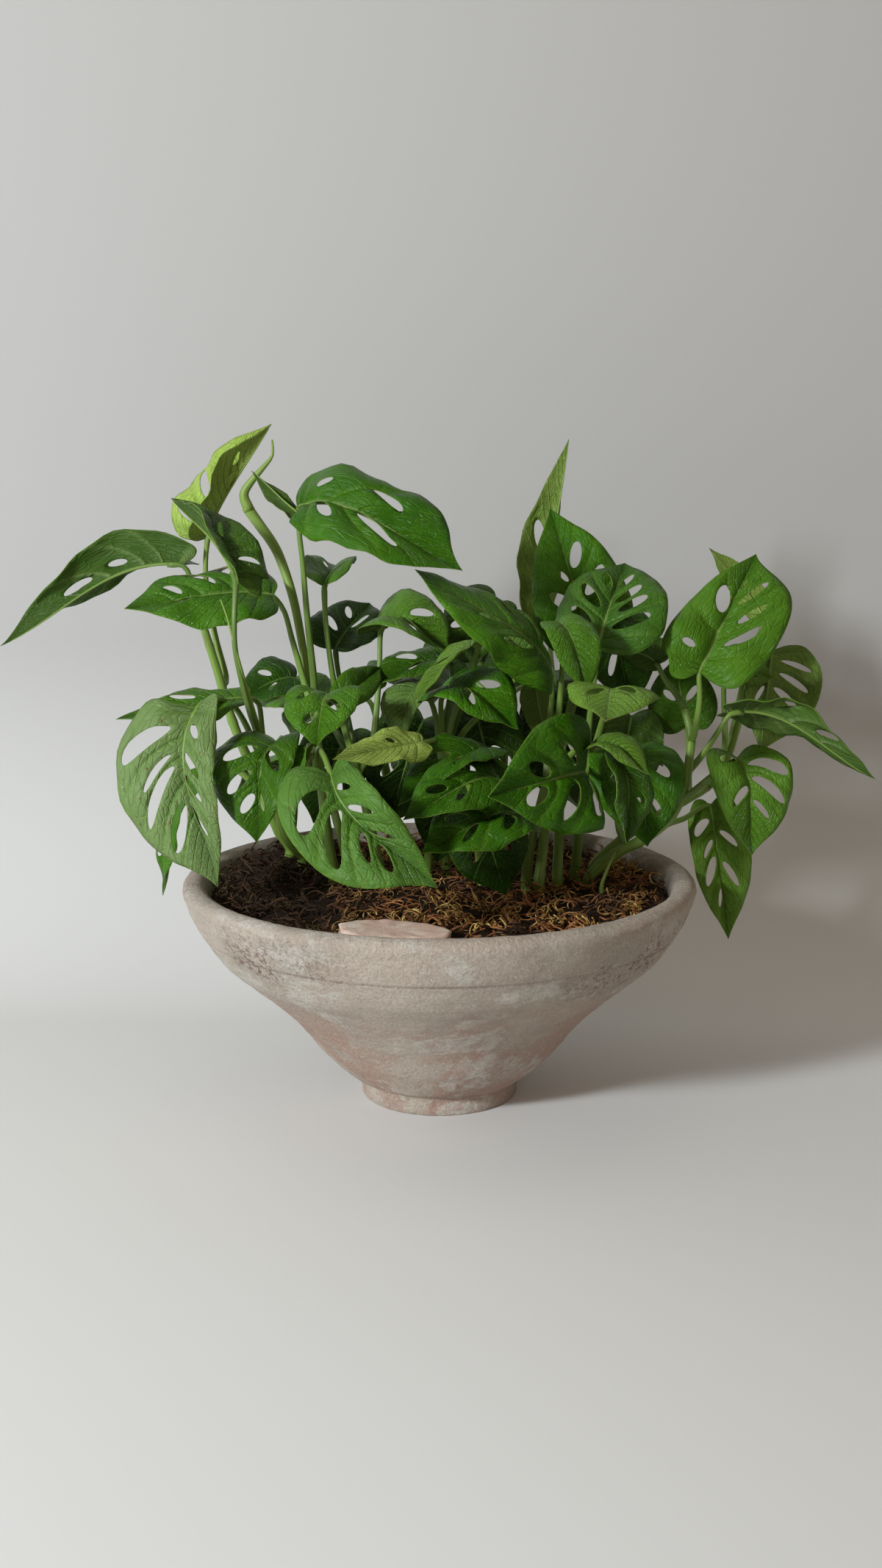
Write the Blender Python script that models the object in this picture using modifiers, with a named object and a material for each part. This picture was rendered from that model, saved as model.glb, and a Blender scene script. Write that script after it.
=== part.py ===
"""Swiss cheese vine (Monstera adansonii) growing in a wide, footed clay bowl.

Frame: origin on the bowl's axis at the underside of its foot, +Z up, and the
photographed side of the plant faces -Y. Everything is built in metres.
"""
import math
import random

import bmesh
import bpy
import numpy as np
from mathutils import Vector
from mathutils.geometry import delaunay_2d_cdt

CM = 0.01

# Bowl: driving sizes in centimetres
RIM_RADIUS = 19.0
FOOT_RADIUS = 5.94
FOOT_HEIGHT = 1.3
BOWL_SIDES = 28
# Radius and height down the outer wall, from the lip's crest to the floor it stands on
OUTER_WALL = [(18.5, 16.85), (RIM_RADIUS, 16.35), (18.8, 15.4), (18.2, 14.0), (17.3, 12.5), (16.4, 11.3),
              (14.9, 10.0), (12.8, 8.2), (10.9, 6.3), (8.9, 3.8), (7.0, 1.95), (6.3, 1.6),
              (FOOT_RADIUS, FOOT_HEIGHT), (FOOT_RADIUS, 0.0), (0.0, 0.0)]
# Radius and height up the inner wall, from the middle of the floor to the lip
INNER_WALL = [(0.0, 2.2), (5.6, 2.5), (8.2, 4.9), (11.4, 8.6), (14.0, 10.9), (15.8, 12.8), (16.8, 14.6),
              (17.2, 16.2), (17.7, 16.8)]

# Soil: level under the lip, mound at the back left, and clearances
SOIL_LEVEL = 15.5
SOIL_GAP = 0.05
SOIL_RINGS = (0.25, 0.5, 0.7, 0.87)
MOUND = dict(at=(-11.0, 7.0), height=1.3, spread=5.5)
STEM_DEPTH = 2.3
HOLE_CLEARANCE = 0.06

# Clay shard lying on the soil behind the front lip
SHARD_AT = (-3.2, -14.1)
SHARD_TURN = math.radians(-8)
SHARD_THICKNESS = 0.75
SHARD_OUTLINE = [(-3.8, 0.9), (-1.6, 1.9), (1.2, 1.7), (3.4, 0.9), (4.0, -0.2), (2.4, -1.3), (-0.6, -1.5),
                 (-3.0, -0.8)]

# Leaves and stalks
BLADE_THICKNESS = 0.08
STALK_RADIUS = 0.21
STALK_FOOT_RADIUS = 0.32
STEM_RADIUS = 0.48
STALK_STEP = 3.6
MARGIN_STEPS = 7

# Half of a leaf's margin: place of the vein on the midrib, reach along the leaf, width from the midrib
MARGIN = [(0.0, 0.0, 0.0), (0.01, -0.045, 0.30), (0.02, -0.03, 0.63), (0.06, 0.12, 0.93), (0.14, 0.33, 1.0),
          (0.28, 0.56, 0.88), (0.47, 0.745, 0.60), (0.67, 0.865, 0.30), (0.85, 0.95, 0.10), (1.0, 1.0, 0.0)]


def remove_everything():
    for obj in list(bpy.data.objects):
        bpy.data.objects.remove(obj, do_unlink=True)


def clay_material(name, colour, roughness):
    material = bpy.data.materials.new(name)
    material.use_nodes = True
    shader = material.node_tree.nodes["Principled BSDF"]
    shader.inputs["Base Color"].default_value = (*colour, 1.0)
    shader.inputs["Roughness"].default_value = roughness
    shader.inputs["Metallic"].default_value = 0.0
    return material


def new_object(name, mesh, collection):
    obj = bpy.data.objects.new(name, mesh)
    collection.objects.link(obj)
    return obj


def evaluated_mesh(obj):
    graph = bpy.context.evaluated_depsgraph_get()
    graph.update()
    return bpy.data.meshes.new_from_object(obj.evaluated_get(graph))


def smooth_points(points, step):
    """Catmull-Rom curve through the points, sampled about every step centimetres."""
    pts = [np.array(p, float) for p in points]
    pts = [2 * pts[0] - pts[1]] + pts + [2 * pts[-1] - pts[-2]]
    out = []
    for p0, p1, p2, p3 in zip(pts, pts[1:], pts[2:], pts[3:]):
        count = max(1, round(float(np.linalg.norm(p2 - p1)) / step))
        for i in range(count):
            t = i / count
            out.append(0.5 * (2 * p1 + (p2 - p0) * t + (2 * p0 - 5 * p1 + 4 * p2 - p3) * t ** 2
                              + (3 * p1 - 3 * p2 + p3 - p0) * t ** 3))
    out.append(pts[-2])
    return out


def tube(name, points, start_radius, end_radius, collection, rounding=0):
    """Tapered tube through the points (cm), returned as a closed mesh object."""
    curve = bpy.data.curves.new(name, "CURVE")
    curve.dimensions = "3D"
    curve.bevel_depth = 1.0
    curve.bevel_resolution = rounding
    curve.use_fill_caps = True
    curve.twist_mode = "MINIMUM"
    spline = curve.splines.new("POLY")
    spline.points.add(len(points) - 1)
    for i, point in enumerate(points):
        share = i / (len(points) - 1)
        spline.points[i].co = (*[c * CM for c in point], 1.0)
        spline.points[i].radius = (start_radius + (end_radius - start_radius) * share) * CM
    guide = new_object(name + "_curve", curve, collection)
    mesh = evaluated_mesh(guide)
    bpy.data.objects.remove(guide, do_unlink=True)
    cage = bmesh.new()
    cage.from_mesh(mesh)
    bmesh.ops.remove_doubles(cage, verts=cage.verts, dist=1e-6)
    bmesh.ops.recalc_face_normals(cage, faces=cage.faces)
    cage.to_mesh(mesh)
    cage.free()
    return new_object(name, mesh, collection)


def leaf(base, tip, half, faces, fold=18, close=0, arch=0.08, holes=(3, 3), via=(), sweep=0.0, lobe=1.0,
         cut=0.0, shift=0.0):
    """One leaf, in centimetres and degrees.

    Left and right are as seen from base to tip with the upper side up, and a pair gives both.
    base, tip: ends of the midrib; half: half width; faces: where the upper side looks; fold: rise of
    each half from flat; close: how much more it rises at the tip; arch and sweep: bow of the midrib as a share of its length; holes: how many
    on each side, or each hole's side, place and half length along the blade, middle and half width in
    shares of the blade; via: points of the stalk, from the stem up, or None where the blade is a lobe
    of its neighbour; lobe: size of the lobes at the base; cut: how far the base is cut back to the tip;
    shift: widest place moved to the tip.
    """
    def pair(value):
        return value if isinstance(value, tuple) else (value, value)

    return dict(base=base, tip=tip, half=pair(half), faces=faces, fold=pair(fold), close=pair(close),
                arch=arch, holes=holes, via=via, sweep=sweep, lobe=pair(lobe), cut=pair(cut), shift=pair(shift))


# Every leafy stem: the stem's own path from the soil up, and the leaves it carries
SHOOTS = {
    "shoot_left_back": dict(
        stem=[(-11.6, 5.6, 0), (-12.6, 5.1, 19.4), (-14.3, 5.0, 23.7), (-15.8, 5.2, 27.5), (-16.9, 5.2, 31.5),
              (-17.9, 5.1, 35.0)],
        leaves=[
            leaf((-19.2, 5.0, 39.4), (-32.7, 3.0, 33.5), (2.7, 3.2), (-0.2, 0.82, 0.57),
                 fold=(32, 48), arch=0.08,
                 sweep=-0.05, shift=(0.0, 0.1),
                 holes=[(-1, 0.3, 0.04, 0.3, 0.10), (-1, 0.52, 0.07, 0.38, 0.16)],
                 via=[(-18.3, 5.0, 36.8), (-18.7, 5.0, 38.4)]),
            leaf((-17.6, 6.0, 41.3), (-12.7, 8.0, 49.8), (3.4, 2.5), (-0.83, -0.26, 0.49),
                 fold=(50, 50), arch=0.03,
                 shift=(-0.06, -0.04),
                 holes=[(-1, 0.12, 0.03, 0.5, 0.3), (-1, 0.36, 0.04, 0.5, 0.36), (-1, 0.55, 0.025, 0.4, 0.2),
                        (1, 0.62, 0.03, 0.45, 0.26)],
                 via=[(-16.4, 6.3, 30.8), (-17.2, 6.5, 34.2), (-17.7, 6.2, 38.4)]),
            leaf((-18.0, 4.2, 23.0), (-21.4, 4.4, 14.0), 2.2, (-0.9, -0.4, 0.2), fold=10, arch=0.1,
                 holes=(0, 0), via=[(-14.4, 4.5, 23.0), (-16.2, 4.5, 24.2)]),
        ]),
    "shoot_left_front": dict(
        stem=[(-10.5, 3.3, 0), (-11.5, 1.7, 19.2), (-12.3, 0.0, 22.9)],
        leaves=[
            leaf((-14.1, -5.0, 38.9), (-19.7, 3.0, 44.4), (2.2, 2.7), (0.3, -0.45, 0.85),
                 fold=(55, 4), close=(0, 50), arch=0.06,
                 lobe=(1.3, 2.4), shift=(0.0, -0.3), holes=[(-1, 0.4, 0.05, 0.45, 0.16), (1, 0.2, 0.03, 0.5, 0.28)],
                 via=[(-13.0, -3.4, 27.8), (-13.4, -4.4, 29.6), (-13.8, -5.2, 31.7), (-14.2, -5.8, 34.3),
                      (-14.2, -5.8, 36.6)]),
            leaf((-11.4, -5.6, 27.6), (-12.6, -9.2, 21.2), (2.7, 3.6), (-0.3, -0.75, 0.6),
                 fold=(16, 10), arch=0.2,
                 holes=(2, 3), via=[(-11.2, -1.0, 25.4), (-11.2, -3.6, 27.6)]),
            leaf((-16.9, -6.0, 30.2), (-15.4, -9.0, 18.0), (2.7, 4.6), (-0.35, -0.85, 0.35),
                 fold=14, arch=0.1,
                 sweep=0.07, lobe=(1.4, 0.4), cut=(0.0, 0.05), shift=(0.0, 0.08), holes=[
                     (1, 0.16, 0.045, 0.56, 0.34), (1, 0.3, 0.02, 0.42, 0.24), (1, 0.4, 0.035, 0.5, 0.36),
                     (1, 0.6, 0.055, 0.5, 0.36), (-1, 0.14, 0.03, 0.4, 0.2), (-1, 0.32, 0.035, 0.4, 0.27),
                     (-1, 0.44, 0.025, 0.42, 0.27), (-1, 0.62, 0.045, 0.42, 0.3)],
                 via=[(-13.2, -0.8, 26.0), (-14.6, -2.6, 29.6), (-16.0, -4.6, 30.6)]),
            leaf((-13.9, -2.6, 30.4), (-22.9, -4.4, 29.1), (2.3, 2.3), (0.0, -0.15, 0.99),
                 fold=(-14, 4), arch=0.02,
                 holes=(2, 1), via=[(-12.9, -0.4, 26.8), (-13.1, -1.4, 29.8)]),
        ]),
    "shoot_left_mid": dict(
        stem=[(-7.9, 0.3, 0), (-8.4, 0.4, 20.0), (-8.9, 0.5, 25.5), (-9.2, 0.6, 28.6)],
        leaves=[
            leaf((-12.0, 0.0, 37.5), (-22.3, -3.0, 36.8), (3.7, 4.3), (0.0, -0.45, 0.89),
                 fold=-7, arch=0.05,
                 lobe=(0.8, 1.0), cut=(0.04, 0.0), holes=[(-1, 0.6, 0.02, 0.3, 0.16), (1, 0.26, 0.035, 0.5, 0.3),
                                                  (1, 0.46, 0.03, 0.5, 0.3), (1, 0.66, 0.025, 0.4, 0.25)],
                 via=[(-9.8, 1.0, 30.5), (-10.3, 1.1, 32.3), (-10.8, 1.0, 34.2), (-11.3, 0.5, 36.3)]),
            leaf((-10.1, -1.0, 43.8), (1.6, -6.0, 39.7), (3.7, 3.8), (0.15, -0.72, 0.68),
                 fold=6, arch=0.14,
                 lobe=(0.6, 0.0), cut=(0.0, 0.10), shift=(0.15, 0.08), holes=[
                     (-1, 0.13, 0.03, 0.35, 0.1), (-1, 0.42, 0.09, 0.55, 0.07),
                     (1, 0.2, 0.045, 0.36, 0.22), (1, 0.5, 0.08, 0.42, 0.34)],
                 via=[(-9.2, 0.5, 31.0), (-9.4, 0.0, 33.8), (-9.6, -0.5, 36.5), (-9.8, -0.9, 39.9),
                      (-10.0, -1.0, 42.0)]),
            leaf((-8.9, -2.2, 42.9), (-13.5, 0.6, 46.4), (0.8, 0.9), (-0.3, 0.6, -0.7),
                 fold=12, arch=0.05, lobe=0.0, cut=0.06, holes=(0, 0), via=None),
            leaf((-7.7, -4.0, 30.8), (-8.5, -8.8, 27.8), 2.8, (-0.2, -0.75, 0.65), fold=8, arch=0.16,
                 holes=(1, 2), via=[(-9.0, -0.4, 27.6), (-8.3, -2.4, 29.8)]),
            leaf((-7.2, -12.0, 26.4), (-0.1, -16.0, 19.7), (2.7, 4.4), (0.1, -0.9, 0.35),
                 fold=(42, 10), arch=0.08,
                 sweep=0.09, holes=[
                     (1, 0.18, 0.055, 0.5, 0.34), (1, 0.34, 0.05, 0.5, 0.38), (1, 0.5, 0.03, 0.4, 0.26),
                     (1, 0.63, 0.045, 0.45, 0.3), (-1, 0.16, 0.025, 0.4, 0.22), (-1, 0.33, 0.03, 0.42, 0.28),
                     (-1, 0.52, 0.025, 0.42, 0.28)],
                 via=[(-8.9, -2.5, 24.6), (-8.6, -6.0, 27.2), (-7.9, -9.5, 27.4)]),
            leaf((-8.9, -8.0, 27.2), (-9.9, -10.0, 21.8), 2.0, (-0.8, -0.5, 0.3), fold=30, arch=0.08,
                 holes=(1, 1), via=[(-9.5, -2.0, 25.6), (-9.2, -5.5, 27.4)]),
            leaf((-7.2, -3.0, 30.0), (-4.3, 1.6, 32.1), 1.4, (0.3, -0.7, 0.6), fold=15, arch=0.05,
                 holes=(0, 0), via=[(-8.8, -0.6, 29.0), (-8.0, -1.7, 30.2)]),
        ]),
    "shoot_centre_left": dict(
        stem=[(-4.5, 1.6, 0), (-5.2, 1.8, 20.0), (-6.1, 2.0, 24.0)],
        leaves=[
            leaf((-8.4, 1.0, 38.1), (-7.6, 8.0, 39.0), 2.2, (0.0, -0.3, 0.95), fold=26, arch=0.06,
                 holes=(1, 1), via=[(-7.3, 1.6, 28.5), (-7.9, 1.3, 31.7), (-8.3, 1.0, 35.3)]),
            leaf((-7.9, 5.0, 33.0), (-5.4, 9.0, 36.2), 2.9, (-0.2, -0.7, 0.6), fold=14, arch=0.05,
                 holes=(2, 1), via=[(-6.9, 3.4, 28.0), (-7.6, 4.6, 31.0)]),
            leaf((-4.5, 4.0, 34.6), (0.8, 2.0, 33.0), 2.9, (0.1, -0.45, 0.85), fold=22, arch=0.26,
                 holes=(1, 1), via=[(-5.1, 2.6, 26.0), (-4.7, 3.1, 29.0), (-4.5, 3.6, 32.0)]),
            leaf((-8.8, 9.0, 28.0), (-14.8, 10.6, 28.2), 3.0, (0.1, -0.4, 0.9), fold=10, arch=0.12,
                 holes=(1, 1), via=[(-6.7, 4.6, 25.2), (-7.6, 7.6, 27.2)]),
            leaf((-10.9, 5.0, 30.8), (-15.0, 3.4, 29.6), 2.3, (0.0, -0.6, 0.8), fold=8, arch=0.1,
                 holes=(1, 1), via=[(-8.0, 4.0, 27.2), (-9.8, 5.2, 30.2)]),
            leaf((-7.0, 6.6, 26.4), (-9.8, 5.8, 19.4), 2.9, (-0.1, -0.9, 0.3), fold=12, arch=0.14,
                 holes=(0, 0), via=[(-6.2, 4.4, 23.6), (-6.9, 6.2, 25.8)]),
        ]),
    "shoot_centre": dict(
        stem=[(0.5, 3.5, 0), (0.3, 3.0, 20.0), (0.2, 2.0, 24.5)],
        leaves=[
            leaf((0.1, -1.0, 30.3), (5.6, -4.6, 28.4), 3.2, (0.2, -0.5, 0.85), fold=10, arch=0.22,
                 holes=(1, 1), via=[(0.2, 1.2, 27.2), (0.1, 0.0, 29.2)]),
            leaf((-1.4, 0.2, 30.9), (-2.9, -1.8, 26.8), 1.9, (-0.6, -0.7, 0.4), fold=18, arch=0.16,
                 holes=(1, 0), via=[(-0.3, 1.4, 28.5), (-1.0, 0.8, 30.4)]),
            leaf((2.8, -2.0, 34.4), (-1.9, -6.0, 30.5), (1.1, 1.9), (-0.4, -0.5, 0.7),
                 fold=(34, -20), arch=0.06,
                 holes=(0, 1), via=[(1.0, 0.8, 28.5), (2.3, -0.6, 32.0)]),
            leaf((0.9, 3.0, 32.2), (-5.4, 0.2, 30.6), 2.1, (0.0, -0.3, 0.95), fold=10, arch=0.12,
                 holes=(1, 1), via=[(0.5, 2.6, 28.0), (0.9, 3.0, 30.6)]),
            leaf((6.6, 5.2, 32.4), (2.2, 6.0, 35.4), 2.7, (0.1, -0.6, 0.8), fold=12, arch=0.1,
                 holes=(1, 1), via=[(2.0, 3.2, 27.2), (5.6, 4.6, 30.6)]),
            leaf((1.2, 2.2, 23.8), (-0.2, 0.8, 17.4), 2.5, (-0.1, -0.9, 0.3), fold=10, arch=0.12,
                 holes=(0, 0), via=[(1.0, 3.1, 22.6)]),
            leaf((-1.2, 5.4, 27.6), (-4.0, 4.4, 19.4), 3.2, (-0.1, -0.9, 0.3), fold=12, arch=0.14,
                 holes=(0, 0), via=[(-0.4, 4.2, 24.6), (-0.9, 5.2, 27.0)]),
            leaf((2.6, 6.6, 28.4), (4.4, 5.6, 20.0), 3.3, (0.1, -0.9, 0.3), fold=12, arch=0.14,
                 holes=(0, 0), via=[(1.2, 4.4, 25.4), (2.3, 6.2, 27.8)]),
            leaf((4.4, 7.4, 36.4), (0.6, 6.6, 31.4), 2.7, (-0.1, -0.8, 0.5), fold=12, arch=0.12,
                 holes=(0, 0), via=[(1.6, 4.0, 28.6), (4.0, 6.8, 33.6)]),
        ]),
    "shoot_front": dict(
        stem=[(3.2, 0.5, 0), (2.8, -0.5, 20.0), (2.5, -1.6, 23.0)],
        leaves=[
            leaf((3.5, -5.8, 26.8), (-2.8, -12.0, 24.4), 2.5, (-0.4, -0.6, 0.7), fold=16, arch=0.1,
                 holes=(1, 1), via=[(2.8, -2.8, 25.0), (3.3, -4.6, 26.5)]),
            leaf((3.9, -8.6, 25.6), (-2.4, -13.8, 23.8), 2.4, (-0.1, -0.7, 0.7), fold=6, arch=0.1,
                 holes=(1, 2), via=[(3.0, -4.0, 23.8), (3.9, -7.0, 25.4)]),
            leaf((5.6, -8.0, 22.9), (-1.2, -13.2, 21.4), 2.9, (-0.1, -0.65, 0.75), fold=4, arch=0.12,
                 holes=(2, 2), via=[(3.2, -3.4, 22.4), (4.8, -6.4, 23.1)]),
            leaf((-1.2, -9.0, 28.2), (-7.0, -14.0, 27.9), (1.5, 1.4), (0.0, -0.5, 0.87),
                 fold=(-15, 22), arch=0.0,
                 holes=[(1, 0.35, 0.03, 0.35, 0.15)], via=[(1.6, -3.2, 25.4), (-0.1, -6.6, 27.8)]),
            leaf((3.2, -4.6, 22.6), (4.7, -7.0, 16.9), 3.1, (-0.3, -0.85, 0.3), fold=10, arch=0.12,
                 holes=(1, 1), via=[(2.9, -2.2, 21.6), (3.0, -3.6, 22.3)]),
        ]),
    "shoot_right_front": dict(
        stem=[(7.3, -2.2, 0), (7.7, -1.0, 19.9), (7.9, 0.2, 24.0)],
        leaves=[
            leaf((8.3, 1.0, 31.6), (-1.7, -5.0, 39.7), (3.3, 3.7), (-0.2, -0.7, 0.65),
                 fold=(2, -40), arch=0.1,
                 lobe=(0.4, 1.0), cut=(0.05, 0.0), shift=(0.1, 0.0),
                 holes=[(-1, 0.33, 0.045, 0.38, 0.26), (-1, 0.56, 0.045, 0.36, 0.24),
                        (1, 0.25, 0.03, 0.4, 0.2), (1, 0.42, 0.03, 0.4, 0.25)],
                 via=[(8.1, 1.2, 27.5), (8.3, 1.3, 29.8)]),
            leaf((8.5, -1.2, 35.6), (10.5, -4.7, 30.8), 1.9, (0.2, -0.85, 0.5), fold=12, arch=0.2,
                 holes=(0, 0), via=[(8.7, 1.1, 28.0), (9.0, 0.7, 32.0), (8.8, -0.4, 34.4)]),
            leaf((10.2, -6.0, 25.6), (3.2, -14.0, 25.4), (4.2, 4.2), (0.6, -0.7, 0.35),
                 fold=(0, 8), arch=0.12,
                 shift=(-0.04, -0.04), holes=[
                     (-1, 0.2, 0.05, 0.45, 0.33), (-1, 0.42, 0.05, 0.48, 0.36), (-1, 0.66, 0.06, 0.45, 0.33),
                     (1, 0.35, 0.04, 0.4, 0.25), (1, 0.6, 0.05, 0.42, 0.3)],
                 via=[(8.9, -2.4, 24.8), (9.9, -4.5, 25.8)]),
            leaf((10.7, -6.8, 27.5), (14.4, -9.2, 26.0), 1.6, (0.3, -0.5, 0.8), fold=10, arch=0.2,
                 holes=(0, 0), via=[(9.3, -3.0, 26.2), (10.3, -5.4, 27.6)]),
            leaf((12.2, -8.0, 26.9), (12.9, -9.4, 21.2), 1.9, (0.6, -0.75, 0.2), fold=16, arch=0.14,
                 holes=(1, 0), via=[(9.9, -3.6, 26.8), (11.4, -6.6, 27.6)]),
        ]),
    "shoot_right_mid": dict(
        stem=[(8.8, 0.3, 0), (9.0, 2.0, 20.0), (9.3, 5.0, 25.0)],
        leaves=[
            leaf((11.6, 9.0, 33.1), (8.6, 11.0, 43.4), (3.7, 4.0), (0.0, -0.9, 0.4), fold=8, arch=0.06,
                 lobe=(1.6, 1.0), shift=(-0.08, -0.06), holes=[
                     (1, 0.62, 0.055, 0.42, 0.3), (1, 0.42, 0.045, 0.5, 0.3), (-1, 0.5, 0.03, 0.3, 0.15),
                     (-1, 0.34, 0.05, 0.4, 0.3)],
                 via=[(10.2, 7.4, 29.0), (11.1, 8.6, 31.4)]),
            leaf((8.8, 13.0, 34.4), (10.2, 14.0, 48.7), (3.2, 2.7), (-0.5, 0.85, 0.0),
                 fold=(45, 20), arch=0.05,
                 shift=(0.0, -0.12), holes=[(1, 0.5, 0.05, 0.5, 0.26), (-1, 0.6, 0.04, 0.3, 0.14)],
                 via=[(9.0, 8.4, 29.0), (8.8, 12.0, 32.5)]),
            leaf((7.3, 4.0, 30.4), (8.1, 3.4, 26.2), 1.4, (-0.4, 0.8, 0.0), fold=8, arch=0.06,
                 holes=(0, 0), via=[(8.6, 5.4, 27.8), (7.9, 4.9, 30.0)]),
            leaf((9.4, 8.6, 29.4), (8.8, 7.6, 20.4), 3.4, (0.1, -0.9, 0.3), fold=12, arch=0.12,
                 holes=(0, 0), via=[(9.2, 7.4, 26.6), (9.5, 8.4, 28.8)]),
            leaf((12.6, 7.8, 35.2), (14.8, 6.8, 28.2), 3.1, (0.2, -0.8, 0.5), fold=12, arch=0.12,
                 holes=(0, 0), via=[(10.6, 6.8, 29.4), (12.2, 7.6, 33.4)]),
        ]),
    "shoot_right_thin": dict(
        stem=[(10.3, 2.3, 0), (10.5, 2.0, 19.4), (10.9, 1.5, 24.0)],
        leaves=[
            leaf((11.6, 0.5, 33.5), (14.1, 7.0, 39.4), (3.7, 4.6), (-0.1, -0.56, 0.82),
                 fold=8, arch=0.06,
                 holes=(3, 4), via=[(11.1, 1.4, 28.0), (11.4, 0.8, 31.5)]),
            leaf((12.0, -6.4, 31.0), (11.0, -12.6, 30.2), (3.4, 3.0), (0.0, -0.35, 0.94),
                 fold=-4, arch=0.16,
                 holes=(1, 1), via=[(11.4, 0.2, 26.2), (11.9, -3.0, 29.6)]),
        ]),
    "shoot_right": dict(
        stem=[(11.2, 0.0, 0), (13.2, 0.0, 18.4), (15.2, 0.2, 19.4), (17.2, 0.8, 20.9), (18.3, 1.6, 22.9),
              (18.7, 2.2, 25.0), (18.9, 3.0, 26.8), (18.5, 3.8, 28.6)],
        leaves=[
            leaf((16.5, 4.2, 32.0), (12.8, 3.6, 33.4), 2.0, (0.0, 0.6, 0.7), fold=14, arch=0.1,
                 holes=(1, 0), via=[(17.9, 4.0, 29.7), (17.0, 4.1, 30.8)]),
            leaf((19.1, 1.0, 31.8), (23.7, 5.0, 40.2), (3.5, 4.4), (0.0, -0.8, 0.5),
                 fold=(14, 6), arch=0.04,
                 lobe=(2.2, 0.8), shift=(-0.2, 0.22), holes=[
                     (-1, 0.58, 0.08, 0.42, 0.32), (-1, 0.2, 0.03, 0.5, 0.15), (1, 0.72, 0.03, 0.25, 0.12),
                     (1, 0.6, 0.04, 0.5, 0.3), (1, 0.42, 0.035, 0.5, 0.2), (1, 0.25, 0.035, 0.45, 0.25)],
                 via=[(19.0, 1.7, 27.4), (19.2, 1.2, 29.6)]),
            leaf((21.8, 3.0, 28.5), (32.4, 1.0, 23.8), 2.6, (0.3, 0.5, 0.8), fold=4, arch=0.11,
                 holes=[
                     (-1, 0.35, 0.04, 0.45, 0.25), (-1, 0.55, 0.04, 0.45, 0.25),
                     (1, 0.3, 0.04, 0.45, 0.25), (1, 0.6, 0.035, 0.45, 0.25)],
                 via=[(19.6, 3.0, 25.0), (20.7, 3.1, 26.6)]),
            leaf((22.1, 1.0, 25.4), (22.9, -2.0, 18.7), (3.2, 3.0), (0.1, -0.85, 0.5),
                 fold=12, arch=0.22,
                 shift=(0.0, -0.1), holes=[
                     (-1, 0.2, 0.05, 0.5, 0.4), (-1, 0.38, 0.045, 0.5, 0.4), (-1, 0.55, 0.03, 0.4, 0.3),
                     (1, 0.15, 0.05, 0.45, 0.25), (1, 0.45, 0.04, 0.4, 0.35)],
                 via=[(18.9, 1.2, 22.8), (20.6, 0.8, 24.4)]),
            leaf((20.8, 5.0, 21.0), (22.2, 3.0, 10.9), (2.5, 2.1), (0.0, -0.95, 0.2), fold=8, arch=0.04,
                 shift=(0.0, -0.04), holes=[
                     (1, 0.16, 0.045, 0.5, 0.33), (1, 0.32, 0.03, 0.4, 0.25), (1, 0.48, 0.05, 0.5, 0.33),
                     (1, 0.68, 0.04, 0.4, 0.28), (-1, 0.25, 0.03, 0.4, 0.25), (-1, 0.5, 0.04, 0.45, 0.3)],
                 via=[(17.0, 1.6, 20.2), (18.6, 3.0, 20.4), (19.9, 4.4, 20.9)]),
            leaf((14.2, -1.0, 26.2), (14.9, -4.6, 19.9), (3.0, 4.2), (0.15, -0.85, 0.45),
                 fold=10, arch=0.18,
                 holes=(2, 2), via=[(13.3, 0.6, 20.6), (13.6, 0.2, 24.4)]),
        ]),
    "shoot_right_back": dict(
        stem=[(12.0, 5.0, 0), (15.2, 5.8, 19.0), (18.6, 6.4, 20.8), (20.9, 6.4, 22.2)],
        leaves=[
            leaf((25.7, 8.0, 32.6), (24.9, 7.0, 24.8), (1.7, 4.1), (0.2, 0.9, 0.2), fold=6, arch=0.05,
                 holes=[(1, 0.13, 0.025, 0.5, 0.3), (1, 0.28, 0.03, 0.5, 0.3), (1, 0.43, 0.035, 0.45, 0.3),
                        (1, 0.6, 0.03, 0.4, 0.25), (-1, 0.42, 0.04, 0.45, 0.25)],
                 via=[(22.2, 7.0, 23.9), (23.2, 7.7, 26.6), (24.2, 8.6, 30.5)]),
            leaf((21.8, 6.2, 31.6), (25.6, 7.0, 30.6), 2.0, (0.0, -0.7, 0.7), fold=8, arch=0.1,
                 holes=(1, 1), via=[(22.0, 6.6, 25.0), (21.8, 6.3, 29.4)]),
            leaf((25.4, 9.4, 34.8), (20.9, 9.8, 40.4), 1.3, (-0.3, 0.6, 0.7), fold=20, arch=0.1,
                 holes=(0, 0), via=[(22.6, 7.6, 25.6), (24.0, 9.4, 31.0)]),
            leaf((19.3, 8.4, 26.6), (18.4, 9.4, 32.0), 2.7, (-0.2, -0.9, 0.2), fold=8, arch=0.05,
                 holes=(1, 1), via=[(19.4, 7.0, 22.0), (19.5, 8.0, 24.6)]),
            leaf((15.0, 8.6, 27.4), (14.0, 8.0, 20.2), 2.9, (-0.1, -0.9, 0.3), fold=12, arch=0.12,
                 holes=(0, 0), via=[(15.6, 6.8, 22.4), (15.2, 8.3, 26.4)]),
        ]),
    "shoot_back_left": dict(
        stem=[(-3.5, 8.5, 0), (-4.0, 9.4, 21.0), (-4.6, 10.2, 25.0)],
        leaves=[
            leaf((-6.4, 13.0, 28.4), (-12.6, 19.4, 24.0), 3.9, (-0.3, 0.3, 0.9), fold=8, arch=0.12,
                 holes=(1, 0), via=[(-5.4, 11.8, 27.8)]),
            leaf((-3.0, 13.6, 29.4), (-0.6, 22.0, 26.4), 3.8, (0.1, 0.3, 0.9), fold=8, arch=0.12,
                 holes=(1, 0), via=[(-4.2, 11.6, 28.2)]),
            leaf((-9.6, 12.8, 23.0), (-17.0, 15.0, 19.4), 3.4, (-0.3, 0.2, 0.9), fold=8, arch=0.14,
                 holes=(1, 0), via=[(-6.0, 10.8, 22.4)]),
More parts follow.
